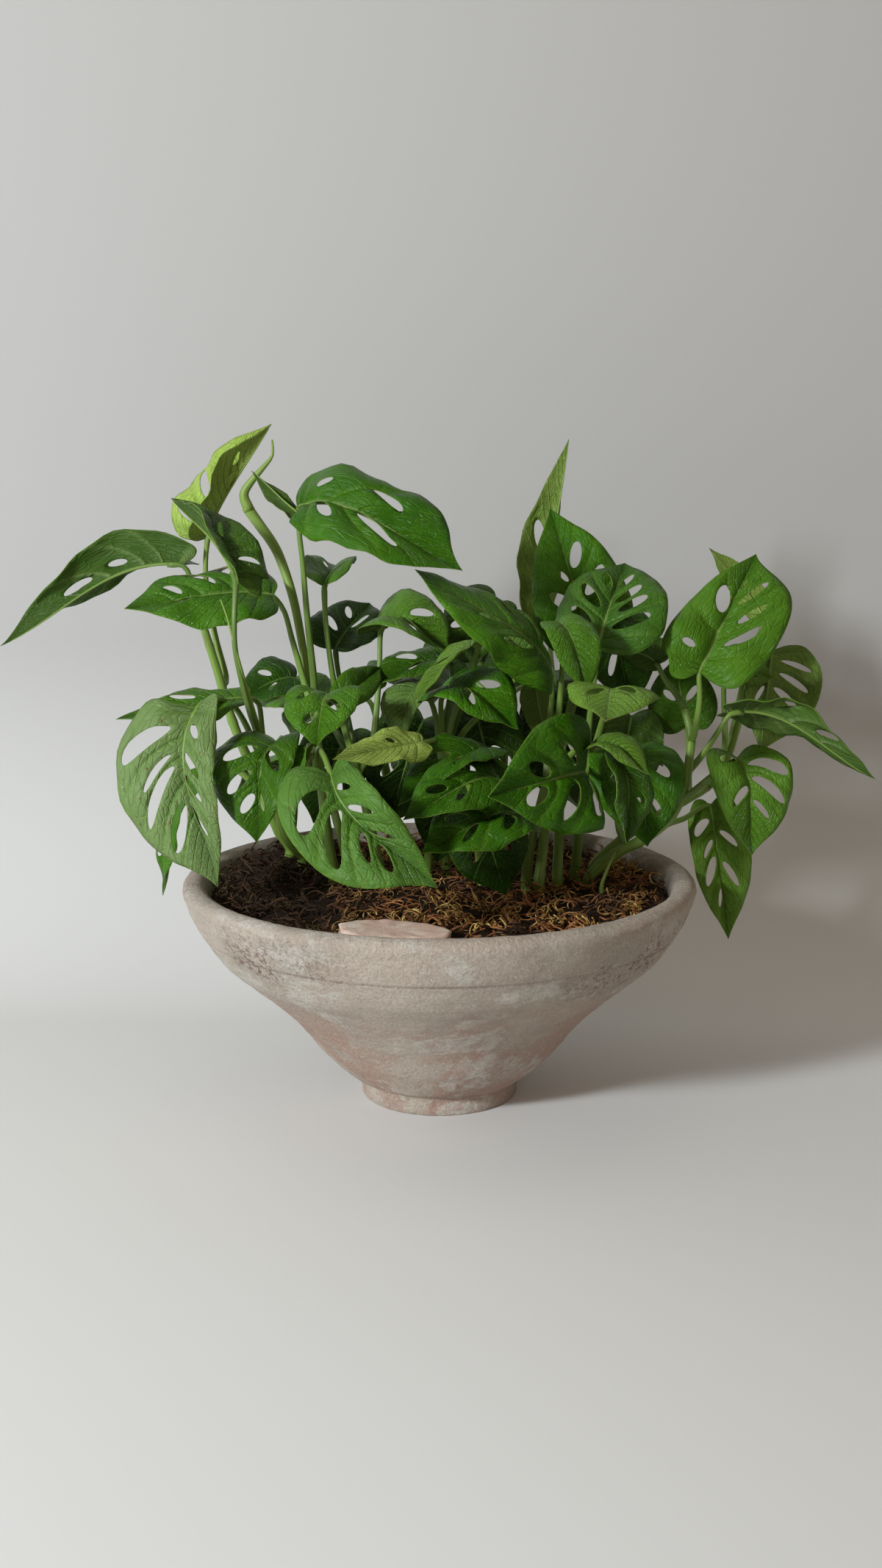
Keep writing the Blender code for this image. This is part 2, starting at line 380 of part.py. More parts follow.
            leaf((-2.0, 12.4, 22.2), (1.4, 18.8, 18.2), 2.9, (0.1, 0.4, 0.9), fold=8, arch=0.14,
                 holes=(1, 0), via=[(-3.2, 11.0, 21.8)]),
        ]),
    "shoot_back_right": dict(
        stem=[(5.0, 8.0, 0), (5.0, 9.2, 21.0), (5.2, 10.2, 26.0)],
        leaves=[
            leaf((7.0, 13.4, 29.4), (9.6, 21.6, 25.4), 3.9, (0.2, 0.3, 0.9), fold=8, arch=0.12,
                 holes=(1, 0), via=[(5.8, 11.8, 28.6)]),
            leaf((2.4, 12.0, 30.2), (0.6, 18.6, 31.6), 3.4, (0.0, 0.2, 0.95), fold=12, arch=0.1,
                 holes=(1, 0), via=[(4.2, 11.0, 28.4)]),
            leaf((11.4, 12.4, 25.6), (18.6, 16.4, 22.0), 3.6, (0.3, 0.2, 0.9), fold=8, arch=0.12,
                 holes=(1, 0), via=[(7.4, 11.2, 25.0)]),
            leaf((7.6, 12.0, 21.4), (12.4, 16.8, 17.8), 2.7, (0.2, 0.4, 0.9), fold=8, arch=0.14,
                 holes=(1, 0), via=[(6.2, 10.8, 21.2)]),
        ]),
}

# New leaf still rolled up, second stems and thin young shoots: path and radii (cm)
ROLLED = {
    "shoot_left_mid": [
        dict(path=[(-9.2, 0.6, 28.2), (-9.6, 1.6, 30.5), (-10.1, 2.2, 33.2), (-10.8, 2.9, 36.8),
                   (-11.7, 3.5, 39.6), (-12.4, 4.0, 41.0), (-13.4, 4.2, 42.4), (-14.3, 4.2, 43.7)],
             radii=(0.26, 0.44)),
        dict(path=[(-14.1, 4.2, 43.4), (-14.5, 4.2, 44.6), (-13.9, 4.1, 45.6), (-13.0, 4.0, 46.6),
                   (-12.3, 4.0, 47.5), (-12.3, 4.0, 48.6)], radii=(0.46, 0.07)),
        dict(path=[(-6.6, -0.6, 0), (-7.3, -0.4, 19.6), (-8.6, 0.5, 24.4)], radii=(0.40, 0.30)),
    ],
    "shoot_left_front": [
        dict(path=[(-12.6, -2.6, 26.4), (-13.2, -4.0, 29.5), (-13.9, -5.6, 33.0), (-14.6, -6.0, 36.2),
                   (-15.1, -6.0, 37.7)], radii=(0.24, 0.06)),
    ],
    "shoot_centre": [dict(path=[(-0.9, 2.6, 0), (-0.6, 2.5, 19.8), (0.2, 2.1, 24.2)], radii=(0.40, 0.30))],
    "shoot_front": [dict(path=[(4.6, -0.6, 0), (4.0, -1.0, 19.6), (2.6, -1.5, 22.9)], radii=(0.40, 0.30))],
    "shoot_right_front": [dict(path=[(6.4, -0.9, 0), (6.8, -0.6, 19.5), (7.8, 0.0, 23.6)], radii=(0.45, 0.30))],
    "shoot_sprout": [
        dict(path=[(11.9, -2.3, 0), (12.3, -2.1, 17.6), (12.9, -1.8, 18.9)], radii=(0.24, 0.08)),
    ],
}


def unit(vector):
    return vector / np.linalg.norm(vector)


def bow(share):
    """Bow of a midrib, one at a third of its length and nothing at its ends."""
    return 6.75 * share * (1 - share) ** 2 if share > 0 else 6.75 * share


def margin_at(share):
    """Catmull-Rom reading of MARGIN at a share of its points: vein place, reach and width."""
    place = share * (len(MARGIN) - 1)
    index = min(int(place), len(MARGIN) - 2)
    t = place - index
    rows = [np.array(MARGIN[max(0, min(len(MARGIN) - 1, index + k))]) for k in (-1, 0, 1, 2)]
    p0, p1, p2, p3 = rows
    return 0.5 * (2 * p1 + (p2 - p0) * t + (2 * p0 - 5 * p1 + 4 * p2 - p3) * t ** 2
                  + (3 * p1 - 3 * p2 + p3 - p0) * t ** 3)


def on_vein(share, out):
    """Flat place, along and across, out of 1 to the margin on the vein that ends at a share of it."""
    vein, reach, width = margin_at(share)
    return vein + (reach - vein) * out ** 1.5, width * out


def vein_through(along, out):
    """Share of the margin where the vein ends that passes a place along the blade."""
    low, high = 0.15, 1.0
    for _ in range(24):
        middle = (low + high) / 2
        if on_vein(middle, out)[0] < along:
            low = middle
        else:
            high = middle
    return low


class Blade:
    """Maps a flat place on a leaf, along 0 to 1 and across in half widths, to space."""

    def __init__(self, spec, seed):
        self.spec = spec
        self.base = np.array(spec["base"], float)
        tip = np.array(spec["tip"], float)
        self.length = float(np.linalg.norm(tip - self.base))
        self.axis = unit(tip - self.base)
        faces = np.array(spec["faces"], float)
        self.up = unit(faces - self.axis * faces.dot(self.axis))
        self.side = np.cross(self.axis, self.up)
        self.phase = random.Random(seed).uniform(0, 6.28)

    def rib(self, share):
        lift = self.length * bow(share)
        return (self.base + self.axis * self.length * share + self.up * lift * self.spec["arch"]
                + self.side * lift * self.spec["sweep"])

    def frame(self, share):
        ahead = unit(self.rib(share + 0.01) - self.rib(share - 0.01))
        up = unit(self.up - ahead * self.up.dot(ahead))
        side = np.cross(ahead, up)
        return up, side

    def point(self, along, across):
        right = 1 if across >= 0 else 0
        out = abs(across)
        width = out * self.spec["half"][right]
        if along < 0:
            along *= self.spec["lobe"][right]
        else:
            along += self.spec["shift"][right] * out * 4 * along * (1 - along)
        along += self.spec["cut"][right] * min(1.0, out * 3) * max(0.0, 1 - along / 0.45) ** 2
        up, side = self.frame(along)
        angle = math.radians(self.spec["fold"][right] + self.spec["close"][right] * along)
        wave = 0.042 * self.length * out ** 2 * math.sin(9.0 * along + self.phase + 1.7 * right)
        sign = 1 if right else -1
        return (self.rib(along) + side * sign * width * math.cos(angle)
                + up * (width * math.sin(angle) + wave))


def hole_rings(spec, seed, corners):
    """Flat outlines of a leaf's holes, between its veins."""
    draw = random.Random(seed * 7 + 3)
    holes = spec["holes"]
    if isinstance(holes, tuple):
        counts = holes
        holes = []
        for side, count in zip((-1, 1), counts):
            for i in range(count):
                holes.append((side, 0.14 + 0.62 * (i + 0.5) / count + draw.uniform(-0.015, 0.015),
                              min(0.05, 0.2 / count), draw.uniform(0.42, 0.5), draw.uniform(0.22, 0.3)))
    rings = []
    for side, place, half_place, middle, half_out in holes:
        ring = []
        for k in range(corners):
            turn = 2 * math.pi * (k + 0.5) / corners
            share = vein_through(place + half_place * math.sin(turn), middle)
            along, width = on_vein(share, middle + half_out * math.cos(turn))
            ring.append((along, side * width))
        rings.append(ring)
    return rings


def inside(point, ring):
    hit = False
    for (x0, y0), (x1, y1) in zip(ring, ring[1:] + ring[:1]):
        if (y0 > point[1]) != (y1 > point[1]) and point[0] < x0 + (point[1] - y0) * (x1 - x0) / (y1 - y0):
            hit = not hit
    return hit


def blade_object(name, spec, seed, collection):
    """A leaf blade with its holes, as a thin closed solid."""
    blade = Blade(spec, seed)
    steps = MARGIN_STEPS if isinstance(spec["holes"], list) and blade.length > 7 else MARGIN_STEPS - 2
    right = [margin_at(i / steps)[1:] for i in range(steps + 1)]
    left = [(along, -across) for along, across in reversed(right[1:-1])]
    outline = [tuple(p) for p in right] + left
    ribs = [(share, 0.0) for share in (0.3, 0.68)]
    rings = hole_rings(spec, seed, 4)
    flat = outline + ribs + [p for ring in rings for p in ring]
    edges = [(i, (i + 1) % len(outline)) for i in range(len(outline))]
    chain = [0] + [len(outline) + i for i in range(len(ribs))] + [steps]
    edges += list(zip(chain, chain[1:]))
    start = len(outline) + len(ribs)
    for ring in rings:
        edges += [(start + k, start + (k + 1) % len(ring)) for k in range(len(ring))]
        start += len(ring)
    coords, _, triangles = delaunay_2d_cdt([Vector(p) for p in flat], edges, [], 1, 1e-6)[:3]
    kept = []
    for triangle in triangles:
        centre = sum((coords[i] for i in triangle), Vector((0, 0))) / 3
        if not any(inside(centre, ring) for ring in rings):
            kept.append(tuple(triangle))
    mesh = bpy.data.meshes.new(name)
    mesh.from_pydata([tuple(blade.point(p.x, p.y) * CM) for p in coords], [], kept)
    obj = new_object(name, mesh, collection)
    shell = obj.modifiers.new("Thickness", "SOLIDIFY")
    shell.thickness = BLADE_THICKNESS * CM
    shell.offset = 0.0
    solid = evaluated_mesh(obj)
    bpy.data.objects.remove(obj, do_unlink=True)
    cage = bmesh.new()
    cage.from_mesh(solid)
    bmesh.ops.remove_doubles(cage, verts=cage.verts, dist=1e-6)
    bmesh.ops.triangulate(cage, faces=cage.faces)
    bmesh.ops.recalc_face_normals(cage, faces=cage.faces)
    cage.to_mesh(solid)
    cage.free()
    return new_object(name, solid, collection)


def rise(path):
    """A path given at height 0 starts in the soil and comes out of it upright."""
    x, y, _ = path[0]
    top = soil_height(x, y)
    return [(x, y, top - STEM_DEPTH), (x, y, top + 0.1), (x, y, top + 0.8)] + list(path[1:])


def stalk_points(spec, blade, stem):
    """Stalk path from inside the nearest point of the stem to under the blade."""
    first = np.array(spec["via"][0], float)
    root = min(stem, key=lambda p: np.linalg.norm(p - first) + (3.0 if p[2] > first[2] - 0.6 else 0.0))
    up = blade.frame(0.05)[0]
    under = blade.rib(0.05) - up * STALK_RADIUS * 0.62
    return smooth_points([root] + [np.array(p, float) for p in spec["via"]] + [under], STALK_STEP)


def fuse(name, pieces, target):
    """Joins the collection's solids into one closed solid in the target collection."""
    body = pieces.objects[0]
    pieces.objects.unlink(body)
    target.objects.link(body)
    if len(pieces.objects):
        union = body.modifiers.new("Union", "BOOLEAN")
        union.operation = "UNION"
        union.operand_type = "COLLECTION"
        union.collection = pieces
        union.solver = "MANIFOLD"
    mesh = evaluated_mesh(body)
    for obj in list(pieces.objects) + [body]:
        bpy.data.objects.remove(obj, do_unlink=True)
    bpy.data.collections.remove(pieces)
    mesh.name = name
    mesh.materials.clear()
    cage = bmesh.new()
    cage.from_mesh(mesh)
    bmesh.ops.dissolve_limit(cage, angle_limit=math.radians(0.3), verts=cage.verts, edges=cage.edges)
    bmesh.ops.triangulate(cage, faces=cage.faces)
    cage.to_mesh(mesh)
    cage.free()
    return new_object(name, mesh, target)


def drop_scraps(obj):
    """Keeps the largest connected body of a fused mesh, so that no loose sliver stays."""
    cage = bmesh.new()
    cage.from_mesh(obj.data)
    left = set(cage.verts)
    groups = []
    while left:
        seen = {left.pop()}
        front = list(seen)
        while front:
            vert = front.pop()
            for edge in vert.link_edges:
                other = edge.other_vert(vert)
                if other in left:
                    left.discard(other)
                    seen.add(other)
                    front.append(other)
        groups.append(seen)
    groups.sort(key=len, reverse=True)
    loose = [vert for group in groups[1:] for vert in group]
    bmesh.ops.delete(cage, geom=loose, context="VERTS")
    cage.to_mesh(obj.data)
    cage.free()


def shoot_object(name, index, target):
    """One leafy stem with its stalks and leaves, fused."""
    pieces = bpy.data.collections.new(name + "_pieces")
    bpy.context.scene.collection.children.link(pieces)
    shoot = SHOOTS.get(name)
    if shoot:
        stem = smooth_points(rise(shoot["stem"]), STALK_STEP)
        tube(name + "_stem", stem, STEM_RADIUS, STALK_FOOT_RADIUS, pieces, rounding=1)
        rooted = [p for p in stem if p[2] > SOIL_LEVEL + 1.0]
        for number, spec in enumerate(shoot["leaves"]):
            seed = index * 10 + number
            blade = Blade(spec, seed)
            blade_object("%s_blade_%d" % (name, number), spec, seed, pieces)
            if spec["via"]:
                tube("%s_stalk_%d" % (name, number), stalk_points(spec, blade, rooted), STALK_FOOT_RADIUS,
                     STALK_RADIUS, pieces)
    for number, roll in enumerate(ROLLED.get(name, [])):
        path = rise(roll["path"]) if roll["path"][0][2] == 0 else roll["path"]
        tube("%s_roll_%d" % (name, number), smooth_points(path, STALK_STEP), *roll["radii"], pieces,
             rounding=1)
    obj = fuse(name, pieces, target)
    drop_scraps(obj)
    return obj


def screw_object(name, profile, collection):
    """Solid turned about Z from radius and height pairs that run down the outer side."""
    cage = bmesh.new()
    verts = [cage.verts.new((r * CM, 0.0, z * CM)) for r, z in profile]
    for a, b in zip(verts, verts[1:]):
        cage.edges.new((a, b))
    mesh = bpy.data.meshes.new(name)
    cage.to_mesh(mesh)
    cage.free()
    obj = new_object(name, mesh, collection)
    screw = obj.modifiers.new("Turn", "SCREW")
    screw.axis = "Z"
    screw.steps = BOWL_SIDES
    screw.render_steps = BOWL_SIDES
    screw.use_merge_vertices = True
    screw.merge_threshold = 1e-5
    return obj


def bowl_object(collection):
    bowl = screw_object("bowl", INNER_WALL + OUTER_WALL, collection)
    bowl.data.materials.append(clay_material("aged_clay", (0.60, 0.50, 0.41), 0.92))
    return bowl


def soil_height(x, y):
    """Height of the soil's top: nearly level, mounded at the back left, flat under the shard."""
    out = math.hypot(x, y) / 17.0
    rise = MOUND["height"] * math.exp(-((x - MOUND["at"][0]) ** 2 + (y - MOUND["at"][1]) ** 2)
                                      / MOUND["spread"] ** 2)
    lumps = 0.16 * math.sin(1.3 * x + 0.6) * math.cos(1.1 * y - 0.4) + 0.10 * math.sin(2.3 * x - 1.9 * y)
    away = math.hypot((x - SHARD_AT[0]) / 7.0, (y - SHARD_AT[1]) / 5.2)
    flat = min(1.0, max(0.0, (away - 1.0) / 0.35))
    return SOIL_LEVEL + 0.35 * (1 - out ** 2) * flat + (rise + lumps) * flat


def soil_object(collection, cutters):
    """Soil that fills the bowl, with a lumpy top and a plain hole for each stem."""
    walls = [(r, z) for r, z in INNER_WALL if 0 < r and z < SOIL_LEVEL - 0.8]
    (r0, z0), (r1, z1) = INNER_WALL[-3], INNER_WALL[-2]
    edge_height = SOIL_LEVEL - 0.1
    edge_radius = r0 + (r1 - r0) * (edge_height - z0) / (z1 - z0)
    rings = [(r - SOIL_GAP, z + SOIL_GAP, False) for r, z in walls]
    rings.append((edge_radius - SOIL_GAP, edge_height, False))
    rings += [(edge_radius * share, 0.0, True) for share in reversed(SOIL_RINGS)]
    cage = bmesh.new()
    rows = []
    for radius, height, top in rings:
        row = []
        for k in range(BOWL_SIDES):
            turn = 2 * math.pi * k / BOWL_SIDES
            x, y = radius * math.cos(turn), radius * math.sin(turn)
            z = soil_height(x, y) if top else height
            row.append(cage.verts.new((x * CM, y * CM, z * CM)))
        rows.append(row)
    floor = cage.verts.new((0, 0, (INNER_WALL[0][1] + SOIL_GAP) * CM))
    peak = cage.verts.new((0, 0, soil_height(0, 0) * CM))
    for k in range(BOWL_SIDES):
        after = (k + 1) % BOWL_SIDES
        cage.faces.new((floor, rows[0][after], rows[0][k]))
        cage.faces.new((peak, rows[-1][k], rows[-1][after]))
        for lower, upper in zip(rows, rows[1:]):
            cage.faces.new((lower[k], lower[after], upper[after], upper[k]))
    bmesh.ops.triangulate(cage, faces=cage.faces)
    bmesh.ops.recalc_face_normals(cage, faces=cage.faces)
    mesh = bpy.data.meshes.new("soil")
    cage.to_mesh(mesh)
    cage.free()
    soil = new_object("soil", mesh, collection)
    soil.data.materials.append(clay_material("soil_and_moss", (0.13, 0.07, 0.035), 0.95))
    feet = [(shoot["stem"][0], STEM_RADIUS) for shoot in SHOOTS.values()]
    feet += [(roll["path"][0], roll["radii"][0]) for rolls in ROLLED.values() for roll in rolls
             if roll["path"][0][2] == 0]
    for number, (foot, radius) in enumerate(feet):
        x, y = foot[:2]
        depth = STEM_DEPTH + 3.0
        middle = soil_height(x, y) - STEM_DEPTH - HOLE_CLEARANCE + depth / 2
        corner_radius = (radius + HOLE_CLEARANCE) / math.cos(math.pi / 6)
        bpy.ops.mesh.primitive_cylinder_add(vertices=6, radius=corner_radius * CM, depth=depth * CM,
                                            location=(x * CM, y * CM, middle * CM))
        cutter = bpy.context.object
        cutter.name = "stem_hole_%d" % number
        for owner in list(cutter.users_collection):
            owner.objects.unlink(cutter)
        cutters.objects.link(cutter)
        cutter.hide_render = True
        cutter.display_type = "WIRE"
    holes = soil.modifiers.new("Stem holes", "BOOLEAN")
    holes.operation = "DIFFERENCE"
    holes.operand_type = "COLLECTION"
    holes.collection = cutters
    holes.solver = "EXACT"
    return soil


def shard_object(collection):
    """Broken piece of an old pot, lying flat on the soil."""
    curve = bpy.data.curves.new("shard_outline", "CURVE")
    curve.dimensions = "2D"
    curve.fill_mode = "BOTH"
    curve.extrude = SHARD_THICKNESS / 2 * CM
    spline = curve.splines.new("POLY")
    spline.points.add(len(SHARD_OUTLINE) - 1)
    for point, (x, y) in zip(spline.points, SHARD_OUTLINE):
        point.co = (x * CM, y * CM, 0.0, 1.0)
    spline.use_cyclic_u = True
    guide = new_object("shard_curve", curve, collection)
    mesh = evaluated_mesh(guide)
    bpy.data.objects.remove(guide, do_unlink=True)
    cage = bmesh.new()
    cage.from_mesh(mesh)
    bmesh.ops.remove_doubles(cage, verts=cage.verts, dist=1e-6)
    bmesh.ops.recalc_face_normals(cage, faces=cage.faces)
    cage.to_mesh(mesh)
    cage.free()
    shard = new_object("shard", mesh, collection)
    rest = SOIL_LEVEL + 0.03 + SHARD_THICKNESS / 2
    shard.location = (SHARD_AT[0] * CM, SHARD_AT[1] * CM, rest * CM)
    shard.rotation_euler = (0.0, 0.0, SHARD_TURN)
    shard.data.materials.append(clay_material("shard_clay", (0.66, 0.50, 0.42), 0.9))
    return shard


def main():
    remove_everything()
    plant = bpy.data.collections.new("monstera_adansonii")
    cutters = bpy.data.collections.new("cutters")
    bpy.context.scene.collection.children.link(plant)
    bpy.context.scene.collection.children.link(cutters)
    bowl = bowl_object(plant)
    soil_object(plant, cutters)
    shard_object(plant)
    green = [(0.10, 0.26, 0.05), (0.13, 0.30, 0.07), (0.08, 0.22, 0.05)]
    for index, name in enumerate(list(SHOOTS) + ["shoot_sprout"]):
        shoot = shoot_object(name, index, plant)
        shoot.data.materials.append(clay_material(name + "_green", green[index % 3], 0.42))
    bowl.data.shade_smooth()
    bowl.data.set_sharp_from_angle(angle=math.radians(50))


main()
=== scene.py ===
# Potted Monstera adansonii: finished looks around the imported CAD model.
# Sizes in the dictionaries are centimetres and degrees unless a note says otherwise.
import math
import random

import bmesh
import bpy
import numpy as np
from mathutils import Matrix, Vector, noise
from mathutils.geometry import delaunay_2d_cdt


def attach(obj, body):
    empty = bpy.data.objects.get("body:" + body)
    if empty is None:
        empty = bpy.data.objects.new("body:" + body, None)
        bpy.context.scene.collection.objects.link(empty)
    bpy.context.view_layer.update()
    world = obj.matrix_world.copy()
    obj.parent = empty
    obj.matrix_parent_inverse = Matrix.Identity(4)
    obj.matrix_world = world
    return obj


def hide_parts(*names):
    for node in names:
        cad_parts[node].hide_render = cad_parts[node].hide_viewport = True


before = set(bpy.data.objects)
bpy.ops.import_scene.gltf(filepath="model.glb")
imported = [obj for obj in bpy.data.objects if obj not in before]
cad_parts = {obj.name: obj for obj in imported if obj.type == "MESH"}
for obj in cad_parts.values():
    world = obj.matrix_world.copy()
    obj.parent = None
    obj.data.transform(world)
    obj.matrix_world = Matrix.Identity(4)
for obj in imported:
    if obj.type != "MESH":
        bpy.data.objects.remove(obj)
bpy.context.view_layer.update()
scene = bpy.context.scene
cm = 0.01


# Camera, lights, floor and backdrop
cameraView = dict(place=(0.0011, -1.28, 0.478), tiltDown=10.7, lens=40.49)  # place in metres, lens in mm
studioLights = {  # place and target in metres, size of the lamp in metres, power in watts
    "keyLight": dict(place=(-1.57, -1.69, 1.08), target=(0.0, 0.05, 0.2), size=0.32, power=56,
                     colour=(0.90, 0.965, 1.0)),
    "fillLight": dict(place=(1.5, -1.7, 1.5), target=(0.0, 0.0, 0.2), size=1.8, power=4,
                      colour=(1.0, 0.84, 0.66)),
    "topLight": dict(place=(-0.2, 0.1, 2.1), target=(0.0, 0.0, 0.2), size=1.6, power=4,
                     colour=(1.0, 0.88, 0.74)),
}
roomLight = dict(colour=(1.0, 0.84, 0.66, 1.0), strength=0.17)
# The backdrop's low and high colours paint shade that deepens up the wall
backdrop = dict(width=900, front=-260, wallAt=42, bendRadius=26, bendSteps=24, height=340, groundBehind=-0.2,
                low=(0.77, 0.765, 0.755), high=(0.52, 0.51, 0.50), highAt=30)


def addCamera():
    camera = bpy.data.objects.new("camera", bpy.data.cameras.new("camera"))
    camera.data.lens = cameraView["lens"]
    camera.data.clip_start = 0.05
    camera.location = cameraView["place"]
    camera.rotation_euler = (math.radians(90 - cameraView["tiltDown"]), 0.0, 0.0)
    scene.collection.objects.link(camera)
    scene.camera = camera


def addLights():
    for name, spec in studioLights.items():
        lamp = bpy.data.lights.new(name, "AREA")
        lamp.size = spec["size"]
        lamp.energy = spec["power"]
        lamp.color = spec["colour"]
        light = bpy.data.objects.new(name, lamp)
        light.location = spec["place"]
        aim = Vector(spec["target"]) - Vector(spec["place"])
        light.rotation_euler = aim.to_track_quat("-Z", "Y").to_euler()
        scene.collection.objects.link(light)
    world = bpy.data.worlds.new("studioRoom")
    world.use_nodes = True
    background = world.node_tree.nodes["Background"]
    background.inputs["Color"].default_value = roomLight["colour"]
    background.inputs["Strength"].default_value = roomLight["strength"]
    scene.world = world
    scene.view_settings.view_transform = "Standard"


# Small helpers for node trees
def addNode(tree, kind, inputs=None, **settings):
    made = tree.nodes.new(kind)
    for name, value in settings.items():
        setattr(made, name, value)
    for name, value in (inputs or {}).items():
        if isinstance(value, bpy.types.NodeSocket):
            tree.links.new(value, made.inputs[name])
        else:
            made.inputs[name].default_value = value
    return made


def newMaterial(name, roughness, specular=0.5):
    material = bpy.data.materials.new(name)
    material.use_nodes = True
    shader = material.node_tree.nodes["Principled BSDF"]
    shader.inputs["Roughness"].default_value = roughness
    shader.inputs["Specular IOR Level"].default_value = specular
    return material, material.node_tree, shader


def noiseAt(tree, vector, scale, detail=4.0, roughness=0.55, distortion=0.0):
    return addNode(tree, "ShaderNodeTexNoise", {"Vector": vector, "Scale": scale, "Detail": detail,
                                                "Roughness": roughness, "Distortion": distortion}).outputs[0]


def remap(tree, value, low, high, toLow=0.0, toHigh=1.0):
    return addNode(tree, "ShaderNodeMapRange", {"Value": value, "From Min": low, "From Max": high,
                                                "To Min": toLow, "To Max": toHigh}).outputs[0]


def maths(tree, operation, first, second=0.5):
    return addNode(tree, "ShaderNodeMath", {0: first, 1: second}, operation=operation).outputs[0]


def times(tree, first, second):
    return maths(tree, "MULTIPLY", first, second)


def farFrom(tree, value, middle):
    return maths(tree, "ABSOLUTE", maths(tree, "SUBTRACT", value, middle))


def axisOf(tree, vector, axis):
    return addNode(tree, "ShaderNodeSeparateXYZ", {0: vector}).outputs[axis]


def mixColour(tree, share, first, second):
    first = first if isinstance(first, bpy.types.NodeSocket) else (*first, 1.0)
    colours = {0: share, 6: first, 7: (*second, 1.0)}
    return addNode(tree, "ShaderNodeMix", colours, data_type="RGBA").outputs[2]


def layered(tree, paint, first, layers):
    # Colours of a paint table laid over each other, each with the share its mask gives
    colour = paint[first]
    for mask, name in layers:
        colour = mixColour(tree, mask, colour, paint[name])
    return colour


def stretched(tree, scale=(1.0, 1.0, 1.0)):
    place = addNode(tree, "ShaderNodeTexCoord").outputs["Object"]
    return addNode(tree, "ShaderNodeMapping", {"Vector": place, "Scale": scale}).outputs[0]


def bumpTo(tree, shader, height, strength, distance):
    bump = addNode(tree, "ShaderNodeBump", {"Height": height, "Strength": strength, "Distance": distance})
    tree.links.new(bump.outputs["Normal"], shader.inputs["Normal"])


def meshObject(name, verts, faces, materials):
    mesh = bpy.data.meshes.new(name)
    mesh.from_pydata([tuple(float(c) * cm for c in v) for v in verts], [], faces)
    for material in materials:
        mesh.materials.append(material)
    mesh.shade_smooth()
    obj = bpy.data.objects.new(name, mesh)
    scene.collection.objects.link(obj)
    return obj


def bakeModifiers(obj):
    graph = bpy.context.evaluated_depsgraph_get()
    graph.update()
    mesh = bpy.data.meshes.new_from_object(obj.evaluated_get(graph))
    obj.modifiers.clear()
    old = obj.data
    obj.data = mesh
    mesh.name = obj.name
    bpy.data.meshes.remove(old)
    return obj


def asPiece(obj, nodes):
    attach(obj, "root")
    if nodes:
        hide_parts(*nodes)


def addBackdrop():
    bendFrom, radius = backdrop["wallAt"] - backdrop["bendRadius"], backdrop["bendRadius"]
    profile = [(backdrop["front"], 0.0), (bendFrom, 0.0)]
    for step in range(1, backdrop["bendSteps"] + 1):
        turn = math.radians(90 * step / backdrop["bendSteps"])
        profile.append((backdrop["wallAt"] - radius * (1 - math.sin(turn)), radius * (1 - math.cos(turn))))
    profile.append((backdrop["wallAt"], backdrop["height"]))
    half, front = backdrop["width"] / 2, backdrop["front"]
    verts = [(x, y, z) for y, z in profile for x in (-half, half)]
    faces = [(2 * i, 2 * i + 1, 2 * i + 3, 2 * i + 2) for i in range(len(profile) - 1)]
    material, tree, shader = newMaterial("paleBackdrop", 0.95, 0.2)
    # Painted shade: the backdrop darkens upwards, from its low colour at the floor to its high colour at
    # highAt
    paintedShadeUp = remap(tree, axisOf(tree, stretched(tree), 2), 0.0, backdrop["highAt"] * cm)
    tree.links.new(mixColour(tree, paintedShadeUp, backdrop["low"], backdrop["high"]), shader.inputs["Base Color"])
    # The wall is open from behind, so that the plant shows from every side
    behind = addNode(tree, "ShaderNodeNewGeometry").outputs["Backfacing"]
    clear = addNode(tree, "ShaderNodeBsdfTransparent").outputs[0]
    shown = addNode(tree, "ShaderNodeMixShader", {0: behind, 1: shader.outputs[0], 2: clear}).outputs[0]
    tree.links.new(shown, tree.nodes["Material Output"].inputs["Surface"])
    meshObject("floorAndBackdrop", verts, faces, [material])
    ground = [(x, y, backdrop["groundBehind"])
              for x, y in ((-half, front), (half, front), (half, -front), (-half, -front))]
    meshObject("groundBehind", ground, [(0, 1, 2, 3)], [material])


addCamera()
addLights()
addBackdrop()
print("camera, lights and backdrop are in place")


# Paths and tubes
def unit(vector):
    return vector / np.linalg.norm(vector)


def curvePoint(p0, p1, p2, p3, t):
    # Catmull-Rom point between p1 and p2
    return 0.5 * (2 * p1 + (p2 - p0) * t + (2 * p0 - 5 * p1 + 4 * p2 - p3) * t ** 2
                  + (3 * p1 - 3 * p2 + p3 - p0) * t ** 3)


def smoothPath(points, step):
    # Catmull-Rom curve through the points, sampled about every step centimetres
    pts = [np.array(p, float) for p in points]
    pts = [2 * pts[0] - pts[1]] + pts + [2 * pts[-1] - pts[-2]]
    path = []
    for p0, p1, p2, p3 in zip(pts, pts[1:], pts[2:], pts[3:]):
        count = max(1, round(float(np.linalg.norm(p2 - p1)) / step))
        path += [curvePoint(p0, p1, p2, p3, i / count) for i in range(count)]
    path.append(pts[-2])
    return path


def ringFaces(rows, around):
    # Four-sided faces between rings of vertices that follow each other
    faces = []
    for i in range(rows - 1):
        for k in range(around):
            a, b = i * around + k, i * around + (k + 1) % around
            faces.append((a, b, b + around, a + around))
    return faces


def fanFaces(row, around, centre, flip=False):
    # Closes a ring with triangles to a vertex in its middle
    faces = []
    for k in range(around):
        a, b = row * around + k, row * around + (k + 1) % around
        faces.append((b, a, centre) if flip else (a, b, centre))
    return faces


